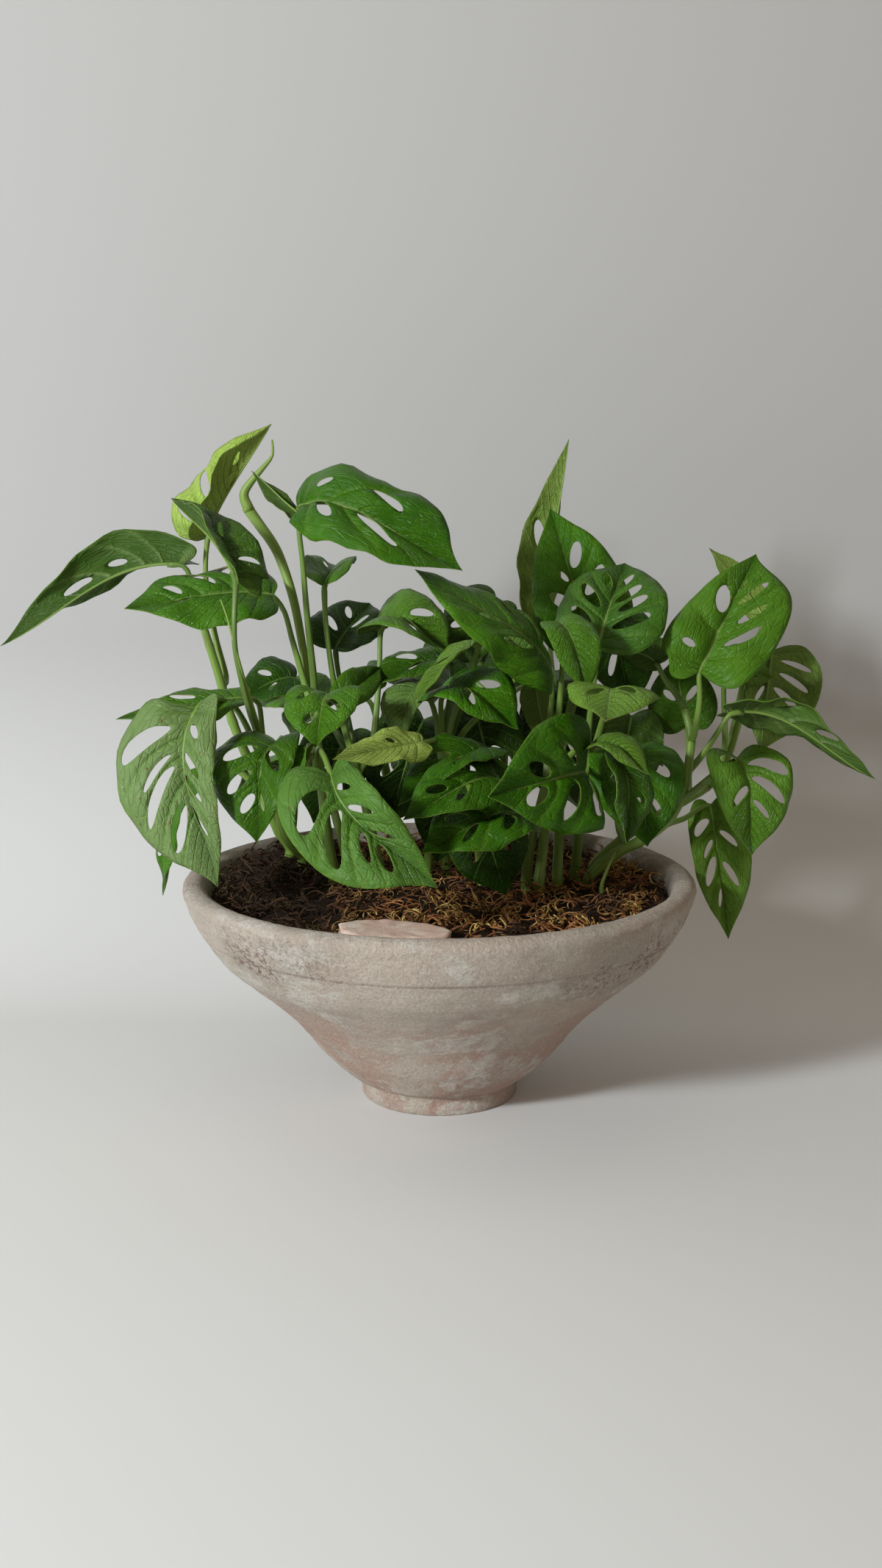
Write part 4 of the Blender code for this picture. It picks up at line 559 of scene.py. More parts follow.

# What differs from the plain mid green: lime (yellow green), deep (darker green, and painted shade where
# leaves hang low inside the clump), spots (brown), grey (painted bluish sheen)
leafLooks = {
    "shoot_left_back": {0: dict(grey=0.06, deep=0.45), 1: dict(lime=0.85)},
    "shoot_left_front": {0: dict(deep=0.6), 1: dict(deep=0.4, spots=0.3), 2: dict(grey=0.9, spots=0.6),
                         3: dict(lime=0.1)},
    "shoot_left_mid": {0: dict(deep=0.1), 1: dict(deep=0.2), 2: dict(deep=0.3),
                       4: dict(grey=0.3, spots=0.5)},
    "shoot_centre_left": {1: dict(deep=0.7), 2: dict(lime=0.15), 4: dict(deep=0.7), 5: dict(deep=0.85)},
    "shoot_centre": {1: dict(grey=0.5, lime=0.15), 2: dict(lime=0.3), 3: dict(deep=0.5),
                     4: dict(lime=0.1, grey=0.3), 5: dict(deep=0.8), 6: dict(deep=0.85),
                     7: dict(deep=0.85), 8: dict(deep=0.7)},
    "shoot_front": {0: dict(deep=0.3), 1: dict(deep=0.35), 2: dict(deep=0.35),
                    3: dict(lime=1.0, grey=0.15), 4: dict(deep=0.8)},
    "shoot_right_front": {1: dict(lime=0.06), 2: dict(deep=0.3), 3: dict(lime=0.15), 4: dict(deep=0.5)},
    "shoot_right_mid": {0: dict(lime=0.05), 1: dict(lime=0.45), 2: dict(lime=0.3), 3: dict(deep=0.9),
                        4: dict(deep=0.7)},
    "shoot_right_thin": {0: dict(deep=0.35, grey=0.1), 1: dict(lime=0.25)},
    "shoot_right": {0: dict(deep=0.5), 1: dict(lime=0.03), 3: dict(lime=0.15, spots=0.5),
                    4: dict(lime=0.14, spots=0.4), 5: dict(deep=0.3)},
    "shoot_right_back": {0: dict(lime=0.3, grey=0.3), 1: dict(lime=0.25), 2: dict(lime=0.6),
                         3: dict(deep=0.4, spots=0.8), 4: dict(deep=0.8)},
}


def marginTable(count):
    # Catmull-Rom reading of the margin's rows: vein place, reach and width at even steps
    rows = [np.array(row) for row in leafShape["margin"]]
    table = []
    for i in range(count + 1):
        place = i / count * (len(rows) - 1)
        index = min(int(place), len(rows) - 2)
        near = (rows[max(0, min(len(rows) - 1, index + k))] for k in (-1, 0, 1, 2))
        table.append(curvePoint(*near, place - index))
    return np.array(table)


marginRows = marginTable(200)
marginShares = np.linspace(0.0, 1.0, len(marginRows))


def bow(share):
    return 6.75 * share * (1 - share) ** 2 if share > 0 else 6.75 * share


class Blade:
    # Maps a flat place on a leaf, along 0 to 1 and across in half widths, to space
    def __init__(self, spec, seed):
        self.spec = spec
        self.base = np.array(spec["base"], float)
        tip = np.array(spec["tip"], float)
        self.length = float(np.linalg.norm(tip - self.base))
        self.axis = unit(tip - self.base)
        faces = np.array(spec["faces"], float)
        self.up = unit(faces - self.axis * faces.dot(self.axis))
        self.side = np.cross(self.axis, self.up)
        self.phase = random.Random(seed).uniform(0, 6.28)

    def rib(self, share):
        lift = self.length * bow(share)
        return (self.base + self.axis * self.length * share + self.up * lift * self.spec["arch"]
                + self.side * lift * self.spec["sweep"])

    def cross(self, share):
        ahead = unit(self.rib(share + 0.01) - self.rib(share - 0.01))
        up = unit(self.up - ahead * self.up.dot(ahead))
        return up, np.cross(ahead, up)

    def point(self, along, across, lift=0.0):
        right = 1 if across >= 0 else 0
        out = abs(across)
        width = out * self.spec["half"][right]
        if along < 0:
            along *= self.spec["lobe"][right]
        else:
            along += self.spec["shift"][right] * out * 4 * along * (1 - along)
        along += self.spec["cut"][right] * min(1.0, out * 3) * max(0.0, 1 - along / 0.45) ** 2
        up, side = self.cross(along)
        angle = math.radians(self.spec["fold"][right] + self.spec["close"][right] * along)
        sign = 1 if right else -1
        wave = leafShape["wave"] * self.length * out ** 2 * math.sin(9.0 * along + self.phase + 1.7 * right)
        wave += leafShape["ripple"] * self.length * out ** 3 * math.sin(31.0 * along + 2.3 * self.phase)
        lift += leafShape["dome"] * self.spec["half"][right] * out * (1 - out)
        spot = Vector((along * self.length * 0.55, across * self.spec["half"][right] * 0.7, self.phase * 9))
        lift += leafShape["pucker"] * min(1.0, out * 4) * noise.noise(spot)
        outward = side * sign * math.cos(angle) + up * math.sin(angle)
        lifted = up * math.cos(angle) - side * sign * math.sin(angle)
        return self.rib(along) + outward * width + up * wave + lifted * lift


def holesOf(spec, seed):
    # Each hole's side, vein, half length along the midrib, middle and half width
    draw = random.Random(seed * 7 + 3)
    if not isinstance(spec["holes"], tuple):
        return spec["holes"]
    holes = []
    for side, count in zip((-1, 1), spec["holes"]):
        for i in range(count):
            holes.append((side, 0.14 + 0.62 * (i + 0.5) / count + draw.uniform(-0.015, 0.015),
                          min(0.05, 0.2 / count), draw.uniform(0.42, 0.5), draw.uniform(0.22, 0.3)))
    return holes


def veinsOf(holes, side):
    # Side veins pass between the holes, and stand evenly where there are none
    middles = sorted(float(np.interp(shareThrough(hole[1], hole[3]), marginShares, marginRows[:, 0]))
                     for hole in holes if hole[0] == side)
    marks = [0.015] + [(a + b) / 2 for a, b in zip(middles, middles[1:])] + [0.97]
    if middles:
        marks.insert(1, max(0.03, middles[0] - 0.085))
        marks.insert(-1, min(0.93, middles[-1] + 0.085))
    veins = []
    for a, b in zip(marks, marks[1:]):
        holed = any(a < middle < b for middle in middles)
        count = 1 if holed else max(1, round((b - a) / leafShape["veinSpacing"]))
        veins += [a + (b - a) * i / count for i in range(count)]
    return veins + [marks[-1]]


def shareThrough(place, middle):
    # Share of the margin where the vein ends that passes a place along the blade
    passes = marginRows[:, 0] + (marginRows[:, 1] - marginRows[:, 0]) * middle ** 1.5
    return float(np.interp(place, passes[30:], marginShares[30:]))


def halfBlade(blade, holes, side):
    # Grid of one half in vein coordinates, with its holes cut, mapped to space
    steps, out = leafShape["stepsAlong"], leafShape["stepsOut"]
    if blade.length < 7:
        steps, out = steps * 2 // 3, out * 2 // 3
    rings = []
    for _, place, halfPlace, middle, halfOut in (hole for hole in holes if hole[0] == side):
        ring = []
        for k in range(leafShape["holeCorners"]):
            turn = 2 * math.pi * (k + 0.5) / leafShape["holeCorners"]
            share = shareThrough(place + halfPlace * math.sin(turn), middle)
            ring.append((share * steps, (middle + halfOut * math.cos(turn)) * out))
        rings.append(ring)
    flat = [(float(i), float(j)) for i in range(steps + 1) for j in range(out + 1)
            if not any(nearRing((i, j), ring, 0.45) for ring in rings)]
    edges = []
    for ring in rings:
        edges += [(len(flat) + k, len(flat) + (k + 1) % len(ring)) for k in range(len(ring))]
        flat += ring
    coords, _, triangles = delaunay_2d_cdt([Vector(p) for p in flat], edges, [], 0, 1e-6)[:3]
    kept = []
    for triangle in triangles:
        x = sum(coords[i][0] for i in triangle) / 3
        y = sum(coords[i][1] for i in triangle) / 3
        if not any(insideRing((x, y), ring) for ring in rings):
            kept.append(tuple(triangle))
    veins = veinsOf(holes, side)
    verts, marks = [], []
    for place in coords:
        share, acrossOut = place[0] / steps, place[1] / out
        vein, reach, width = (float(np.interp(share, marginShares, marginRows[:, c])) for c in range(3))
        cell = max(1, min(len(veins) - 1, int(np.searchsorted(veins, vein))))
        part = min(1.0, max(0.0, (vein - veins[cell - 1]) / (veins[cell] - veins[cell - 1])))
        gap = (veins[cell] - veins[cell - 1]) * blade.length
        plump = math.sin(math.pi * part) ** 0.6 * math.sin(math.pi * min(1.0, acrossOut)) ** 0.6
        lift = leafShape["quilt"] * min(gap, 2.2) * plump * min(1.0, width * 3)
        verts.append(blade.point(vein + (reach - vein) * acrossOut ** 1.5, side * width * acrossOut, lift))
        marks.append((cell - 1 + part, side * acrossOut))
    first, second, third = (verts[i] for i in kept[len(kept) // 2])
    if np.cross(second - first, third - first).dot(blade.up) < 0:
        kept = [face[::-1] for face in kept]
    return verts, kept, marks


def nearRing(point, ring, room):
    return insideRing(point, ring) or any(abs(point[0] - x) < room and abs(point[1] - y) < room
                                          for x, y in ring)


def insideRing(point, ring):
    hit = False
    for (x0, y0), (x1, y1) in zip(ring, ring[1:] + ring[:1]):
        if (y0 > point[1]) != (y1 > point[1]) and point[0] < x0 + (point[1] - y0) * (x1 - x0) / (y1 - y0):
            hit = not hit
    return hit


class MeshParts:
    # Gathers vertices, faces, UVs and tints of many small parts into one mesh
    def __init__(self):
        self.verts, self.faces, self.uvs, self.tints = [], [], [], []

    def add(self, verts, faces, uvs, tint):
        start = len(self.verts)
        self.verts += [tuple(float(c) * cm for c in v) for v in verts]
        self.faces += [tuple(start + i for i in face) for face in faces]
        self.uvs += uvs
        self.tints += [tint] * len(verts)

    def build(self, name, materials, mergeAt=1e-6):
        mesh = bpy.data.meshes.new(name)
        mesh.from_pydata(self.verts, [], self.faces)
        for material in materials:
            mesh.materials.append(material)
        corners = np.zeros(len(mesh.loops), int)
        mesh.loops.foreach_get("vertex_index", corners)
        layer = mesh.uv_layers.new(name="leafUv")
        layer.data.foreach_set("uv", np.array(self.uvs, float)[corners].ravel())
        tint = mesh.attributes.new("leafTint", "FLOAT_COLOR", "POINT")
        tint.data.foreach_set("color", np.array(self.tints, float).ravel())
        cage = bmesh.new()
        cage.from_mesh(mesh)
        bmesh.ops.remove_doubles(cage, verts=cage.verts, dist=mergeAt)
        bmesh.ops.dissolve_degenerate(cage, edges=cage.edges, dist=mergeAt)
        cage.to_mesh(mesh)
        cage.free()
        mesh.shade_smooth()
        obj = bpy.data.objects.new(name, mesh)
        scene.collection.objects.link(obj)
        return obj


def soilHeight(x, y):
    # Nearly level, mounded at the back left, flat under the shard
    out = math.hypot(x, y) / soilLook["crownRadius"]
    mound = soilLook["mound"]
    heap = mound["height"] * math.exp(-((x - mound["at"][0]) ** 2 + (y - mound["at"][1]) ** 2)
                                      / mound["spread"] ** 2)
    lumps = 0.16 * math.sin(1.3 * x + 0.6) * math.cos(1.1 * y - 0.4) + 0.10 * math.sin(2.3 * x - 1.9 * y)
    flatHalf = soilLook["flatHalf"]
    away = math.hypot((x - shardLook["at"][0]) / flatHalf[0], (y - shardLook["at"][1]) / flatHalf[1])
    flat = min(1.0, max(0.0, (away - 1.0) / 0.35))
    return stalks["soilLevel"] + soilLook["crown"] * (1 - out ** 2) * flat + (heap + lumps) * flat


def rise(path):
    # A path given at height 0 starts in the soil and comes out of it upright
    x, y, _ = path[0]
    top = soilHeight(x, y)
    return [(x, y, top - stalks["stemDepth"]), (x, y, top + 0.1), (x, y, top + 0.8)] + list(path[1:])


def stalkPath(spec, blade, stem):
    # From inside the nearest point of the stem to under the blade
    first = np.array(spec["via"][0], float)
    root = min(stem, key=lambda p: np.linalg.norm(p - first) + (3.0 if p[2] > first[2] - 0.6 else 0.0))
    up = blade.cross(0.05)[0]
    under = [blade.rib(share) - up * stalks["stalkRadius"] * 0.62 for share in (0.0, 0.07)]
    return smoothPath([root] + [np.array(p, float) for p in spec["via"]] + under, stalks["step"])


def stemRadii(path, draw):
    # Tapered, with a low swelling at each node of the stem
    radii = []
    length = 0.0
    for i, point in enumerate(path):
        share = i / (len(path) - 1)
        if i:
            length += float(np.linalg.norm(point - path[i - 1]))
        radius = stalks["stemRadius"] + (stalks["footRadius"] - stalks["stemRadius"]) * share
        ring = math.exp(-(((length + draw) % 3.1 - 1.5) / 0.22) ** 2)
        radii.append(radius * (0.94 + 0.12 * ring))
    return radii


def stalkRadii(path):
    # A sheath at the foot, a slim middle, and a thicker knee under the blade
    radii = []
    for i in range(len(path)):
        share = i / (len(path) - 1)
        radius = stalks["footRadius"] + (stalks["stalkRadius"] - stalks["footRadius"]) * min(1.0, share * 1.5)
        knee = math.exp(-((share - 0.93) / 0.05) ** 2)
        radii.append(radius * (0.92 + 0.18 * knee))
    return radii


def grooved(turn, share):
    # A stalk's section: a shallow channel on one side, open as a sheath near the foot
    return 1.0 - (0.34 * (1 - share) ** 2 + 0.10) * math.exp(-((turn - math.pi / 2) / 0.42) ** 2)


def wrapped(turn, share):
    # A rolled leaf's section, with the free edge standing a little off
    return 0.86 + 0.26 * turn / (2 * math.pi)


def bladeTint(name, number):
    draw = random.Random(name + str(number))
    look = leafLooks.get(name, {}).get(number, {})
    lime = min(1.0, max(0.0, look.get("lime", 0.0) + draw.uniform(-0.04, 0.08)))
    deep = min(1.0, max(0.0, look.get("deep", 0.0) + draw.uniform(0.0, 0.14)))
    spots = look.get("spots", 0.0) + draw.uniform(0.0, 0.2)
    return [lime, deep, spots, look.get("grey", 0.0)]


def leafyShoot(name, index, materials):
    blades, greens = MeshParts(), MeshParts()
    shoot = shoots.get(name)
    if shoot:
        path = smoothPath(rise(shoot["stem"]), stalks["step"])
        greens.add(*tubeMesh(path, stemRadii(path, index * 0.7), stalks["stemSides"]), stalks["stemTint"])
        rooted = [p for p in path if p[2] > stalks["soilLevel"] + 1.0]
        for number, spec in enumerate(shoot["leaves"]):
            seed = index * 10 + number
            blade = Blade(spec, seed)
            tint = bladeTint(name, number)
            holes = holesOf(spec, seed)
            for side in (-1, 1):
                blades.add(*halfBlade(blade, holes, side), tint)
            addMidrib(greens, blade, tint)
            if spec["via"]:
                path = stalkPath(spec, blade, rooted)
                greens.add(*tubeMesh(path, stalkRadii(path), stalks["stalkSides"], grooved),
                           (0.1 + tint[0] * 0.4, tint[1], 0.2, 0.0))
    for roll in rolledShoots.get(name, []):
        path = smoothPath(rise(roll["path"]) if roll["path"][0][2] == 0 else roll["path"], stalks["step"])
        start, end = roll["radii"]
        radii = [start + (end - start) * i / (len(path) - 1) for i in range(len(path))]
        greens.add(*tubeMesh(path, radii, stalks["rollSides"], wrapped), stalks["rollTint"])
    made = [greens.build(name + "Stalks", [materials["stalk"]])]
    if blades.verts:
        leaves = blades.build(name + "Leaves", [materials["top"], materials["under"], materials["rim"]])
        shell = leaves.modifiers.new("Thickness", "SOLIDIFY")
        shell.thickness = leafShape["thickness"] * cm
        shell.offset = 0.0
        shell.material_offset = 1
        shell.material_offset_rim = 2
        made.append(bakeModifiers(leaves))
    return made


def addMidrib(greens, blade, tint):
    # Raised rib along the fold, seen from both sides, from the stalk to near the tip
    count = max(8, round(blade.length / 0.5))
    path, radii = [], []
    for i in range(count + 1):
        share = 0.94 * i / count
        radius = leafShape["midribRadius"] * (1 - share) ** 0.8 * min(1.0, blade.length / 10) + 0.02
        path.append(blade.rib(share) - blade.cross(share)[0] * radius * 0.2)
        radii.append(radius)
    greens.add(*tubeMesh(path, radii, leafShape["midribSides"]),
               (0.4 + tint[0] * 0.5, tint[1] * 0.5, 0.0, 0.0))


# Leaf and stalk finishes
def leafColours(tree):
    # Colour of the leaf from its own tint, with veins, net and spots; the tint also carries painted shade and
    # a painted sheen
    leafUv = addNode(tree, "ShaderNodeUVMap", uv_map="leafUv").outputs[0]
    tint = addNode(tree, "ShaderNodeAttribute", attribute_name="leafTint")
    tints = addNode(tree, "ShaderNodeSeparateColor", {0: tint.outputs["Color"]})
    out = maths(tree, "ABSOLUTE", axisOf(tree, leafUv, 1))
    toVein = maths(tree, "PINGPONG", axisOf(tree, leafUv, 0), 0.5)
    vein = times(tree, remap(tree, toVein, 0.0, 0.13, 1.0, 0.0), remap(tree, out, 0.0, 1.0, 1.0, 0.35))
    midrib = remap(tree, out, 0.015, 0.06, 1.0, 0.0)
    cells = addNode(tree, "ShaderNodeMapping", {"Vector": leafUv, "Scale": (3.0, 9.0, 1.0)}).outputs[0]
    net = addNode(tree, "ShaderNodeTexVoronoi", {"Vector": cells, "Scale": 1.0},
                  feature="DISTANCE_TO_EDGE").outputs[0]
    return dict(tint=tints, grey=tint.outputs["Alpha"], place=stretched(tree), out=out, midrib=midrib,
                veins=maths(tree, "MAXIMUM", vein, midrib), net=remap(tree, net, 0.0, 0.12, 1.0, 0.0))


def leafTopMaterial():
    material, tree, shader = newMaterial("leafTop", 0.28, 0.2)
    parts = leafColours(tree)
    lime, deep, spots = (parts["tint"].outputs[i] for i in range(3))
    patches = noiseAt(tree, parts["place"], 38.0, 6.0, 0.7)
    specks = noiseAt(tree, parts["place"], 320.0, 2.0, 0.5)
    brown = remap(tree, maths(tree, "SUBTRACT", specks, remap(tree, spots, 0.0, 1.0, 0.77, 0.62)), 0.0, 0.03)
    green = layered(tree, leafPaint, "mid", [
        (remap(tree, patches, 0.36, 0.64), "fresh"),
        # deep: darker green, and painted shade on the leaves that hang low inside the clump
        (deep, "deep"),
        (lime, "lime"),
        # Painted sheen: the grey tint lays a pale bluish colour over a glossy leaf
        (parts["grey"], "paintedSheen"),
        (times(tree, parts["net"], 0.15), "vein"),
        (times(tree, parts["veins"], 0.55), "vein"),
        (times(tree, parts["midrib"], 0.5), "underVein"),
        (remap(tree, parts["out"], 0.975, 1.0, 0.0, 0.5), "margin"),
        (times(tree, brown, 0.8), "spot"),
    ])
    tree.links.new(green, shader.inputs["Base Color"])
    tree.links.new(remap(tree, patches, 0.3, 0.7, 0.16, 0.30), shader.inputs["Roughness"])
    fine = noiseAt(tree, parts["place"], 1400.0, 2.0, 0.5)
    groove = maths(tree, "SUBTRACT", parts["veins"], times(tree, parts["midrib"], 0.6))
    relief = maths(tree, "SUBTRACT", times(tree, fine, 0.35),
                   maths(tree, "ADD", groove, times(tree, parts["net"], 0.35)))
    bumpTo(tree, shader, relief, 0.9, 0.0014)
    return material


def leafUnderMaterial():
    material, tree, shader = newMaterial("leafUnderside", 0.5, 0.22)
    parts = leafColours(tree)
    green = layered(tree, leafPaint, "under", [
        (remap(tree, noiseAt(tree, parts["place"], 45.0, 5.0, 0.6), 0.3, 0.7), "underPale"),
        # The deep tint darkens the underside too, with its painted shade
        (times(tree, parts["tint"].outputs[1], 0.6), "deep"),
        (times(tree, parts["tint"].outputs[0], 0.9), "lime"),
        (times(tree, parts["net"], 0.3), "mid"),
        (times(tree, parts["veins"], 0.8), "underVein"),
    ])
    tree.links.new(green, shader.inputs["Base Color"])
    relief = maths(tree, "ADD", parts["veins"], times(tree, parts["net"], 0.3))
    bumpTo(tree, shader, relief, 0.8, 0.0016)
    return material


def leafRimMaterial():
    material, tree, shader = newMaterial("leafRim", 0.5, 0.4)
    dry = remap(tree, noiseAt(tree, stretched(tree), 60.0, 3.0), 0.55, 0.66)
    tree.links.new(mixColour(tree, dry, leafPaint["margin"], leafPaint["dry"]), shader.inputs["Base Color"])
    return material


def stalkMaterial():
    material, tree, shader = newMaterial("greenStalk", 0.42, 0.45)
    tint = addNode(tree, "ShaderNodeSeparateColor",
                   {0: addNode(tree, "ShaderNodeAttribute", attribute_name="leafTint").outputs["Color"]})
    uv = addNode(tree, "ShaderNodeUVMap", uv_map="leafUv").outputs[0]
    lengthwise = addNode(tree, "ShaderNodeMapping", {"Vector": uv, "Scale": (26.0, 0.35, 1.0)}).outputs[0]
    streaks = noiseAt(tree, lengthwise, 1.0)
    blotch = noiseAt(tree, stretched(tree), 55.0, 4.0)
    green = layered(tree, stalkPaint, "green", [
        (remap(tree, streaks, 0.35, 0.65), "pale"),
        # A stalk takes its leaf's deep tint, and with it that leaf's painted shade
        (tint.outputs[1], "dark"),
        (times(tree, tint.outputs[0], 0.8), "fresh"),
        (times(tree, remap(tree, blotch, 0.60, 0.70), tint.outputs[2]), "scar"),
    ])
    tree.links.new(green, shader.inputs["Base Color"])
    bumpTo(tree, shader, streaks, 0.3, 0.0006)
    return material


# deep is darker green and also painted shade; the pale bluish colour that the grey tint brings is a painted
# sheen
leafPaint = dict(mid=(0.032, 0.145, 0.001), fresh=(0.058, 0.190, 0.002), deep=(0.008, 0.030, 0.001),
                 lime=(0.400, 0.550, 0.100), vein=(0.110, 0.240, 0.020), margin=(0.130, 0.230, 0.020),
                 paintedSheen=(0.175, 0.260, 0.090), spot=(0.150, 0.085, 0.025), dry=(0.190, 0.115, 0.045),
                 under=(0.055, 0.120, 0.015), underPale=(0.082, 0.150, 0.024),
                 underVein=(0.180, 0.260, 0.080))
stalkPaint = dict(green=(0.100, 0.220, 0.020), pale=(0.215, 0.330, 0.055), dark=(0.050, 0.110, 0.020),
                  fresh=(0.290, 0.390, 0.090), scar=(0.170, 0.120, 0.050))


# Bowl: aged, lime-washed clay, thrown with a collar and a small foot
bowlLook = dict(
    # radius and height from the lip's crest down the outer wall, and up the inner wall to the lip
    outer=[(18.5, 16.85), (19.0, 16.35), (18.8, 15.4), (18.2, 14.0), (17.3, 12.5), (16.4, 11.3), (14.9, 10.0),
           (12.8, 8.2), (10.9, 6.3), (8.9, 3.8), (7.0, 1.95), (6.3, 1.6)],
    foot=[(5.94, 1.25), (5.9, 0.12), (5.78, 0.0), (0.0, 0.0)],
    inner=[(0.0, 2.2), (5.6, 2.5), (8.2, 4.9), (11.4, 8.6), (14.0, 10.9), (15.8, 12.8), (16.8, 14.6),
           (17.2, 16.2), (17.7, 16.8)],
    step=0.16, around=300, marks=0.035, marksTo=16.0, wobble=0.05,
    lineAt=13.5, lineDepth=0.07, lineWidth=0.07,  # the incised line
    pinkFrom=11.5, pinkFull=5.5, pinkRing=6.0,  # heights where the pink clay starts, is full and is a ring
)
soilLook = dict(mound=dict(at=(-11.0, 7.0), height=1.3, spread=5.5), crown=0.35, crownRadius=17.0,
                flatHalf=(7.0, 5.2), edgeRadius=16.95, edgeHeight=15.4, rings=46, around=160, roughness=0.28,
                gap=0.05)
shardLook = dict(at=(-3.2, -14.1), turn=-8, thickness=0.75, rest=15.53, tilt=0.08, wear=0.09,
                 clearing=(4.9, 2.9), clearingAhead=0.8,
                 outline=[(-3.8, 0.9), (-1.6, 1.9), (1.2, 1.7), (3.4, 0.9), (4.0, -0.2), (2.4, -1.3),
                          (-0.6, -1.5), (-3.0, -0.8)])


def bowlProfile():
    # The lip is one curve from wall to wall; the foot keeps its corners
    curve = smoothPath([(r, z, 0.0) for r, z in bowlLook["inner"] + bowlLook["outer"]], bowlLook["step"])
    points = [(float(p[0]), float(p[1])) for p in curve]
    points[0] = (0.0, bowlLook["inner"][0][1])
    last = bowlLook["outer"][-1]
    for corner in bowlLook["foot"]:
        count = max(1, round(math.dist(last, corner) / (bowlLook["step"] * 2)))
        points += [(last[0] + (corner[0] - last[0]) * i / count, last[1] + (corner[1] - last[1]) * i / count)
                   for i in range(1, count + 1)]
        last = corner
    return points


def bowlRelief(turn, radius, height, outside):
    # Surface above the profile: wobble, throwing marks, the incised line and worn pits, mostly below it
    ring = Vector((math.cos(turn), math.sin(turn), 0.0))
    relief = bowlLook["wobble"] * noise.noise(ring * 1.6 + Vector((0.0, 0.0, height * 0.08)))
    if outside:
        if height < bowlLook["marksTo"]:
            relief += bowlLook["marks"] * noise.noise(Vector((ring.x * 0.5, ring.y * 0.5, height * 2.1)))
        line = bowlLook["lineAt"] + 0.10 * noise.noise(ring * 2.2 + Vector((4.0, 0.0, 0.0)))
        broken = min(1.0, max(0.25, 0.8 + 1.2 * noise.noise(ring * 5.0)))
        relief -= bowlLook["lineDepth"] * broken * math.exp(-((height - line) / bowlLook["lineWidth"]) ** 2)
    spot = Vector((ring.x * radius, ring.y * radius, height))
    relief += 0.034 * noise.noise(spot * 0.9) + 0.024 * noise.noise(spot * 2.6)
    pit = noise.noise(spot * 1.4 + Vector((9.0, 2.0, 5.0)))
    return relief - 0.03 - 0.09 * max(0.0, pit - 0.42)


def bowlObject(material):
    profile = bowlProfile()
    crest = max(range(len(profile)), key=lambda i: profile[i][1])
    around = bowlLook["around"]
    verts = []
    for i, (radius, height) in enumerate(profile[1:-1], 1):
        before, after = profile[i - 1], profile[i + 1]
        along = unit(np.array([after[0] - before[0], after[1] - before[1]]))
        normal = np.array([-along[1], along[0]])
        for k in range(around):
            turn = 2 * math.pi * k / around
            flat = 0.0 if height < 0.06 else bowlRelief(turn, radius, height, i > crest)
            r, z = radius + normal[0] * flat, height + normal[1] * flat
            verts.append((r * math.cos(turn), r * math.sin(turn), z))
    rows = len(profile) - 2
    faces = ringFaces(rows, around)
    for row, pole in ((0, profile[0]), (rows - 1, profile[-1])):
        verts.append((0.0, 0.0, pole[1]))
        faces += fanFaces(row, around, len(verts) - 1, row == 0)
    bowl = meshObject("agedClayBowl", verts, faces, [material])
    outwards(bowl.data)
    return bowl


def outwards(mesh):
    cage = bmesh.new()
    cage.from_mesh(mesh)
    bmesh.ops.recalc_face_normals(cage, faces=cage.faces)
    cage.to_mesh(mesh)
    cage.free()


clayPaint = dict(cream=(0.770, 0.655, 0.545), grey=(0.560, 0.480, 0.405), pink=(0.610, 0.380, 0.300),
                 chalk=(0.830, 0.770, 0.690), dark=(0.200, 0.145, 0.110), rust=(0.230, 0.125, 0.100),
                 shard=(0.660, 0.460, 0.370))


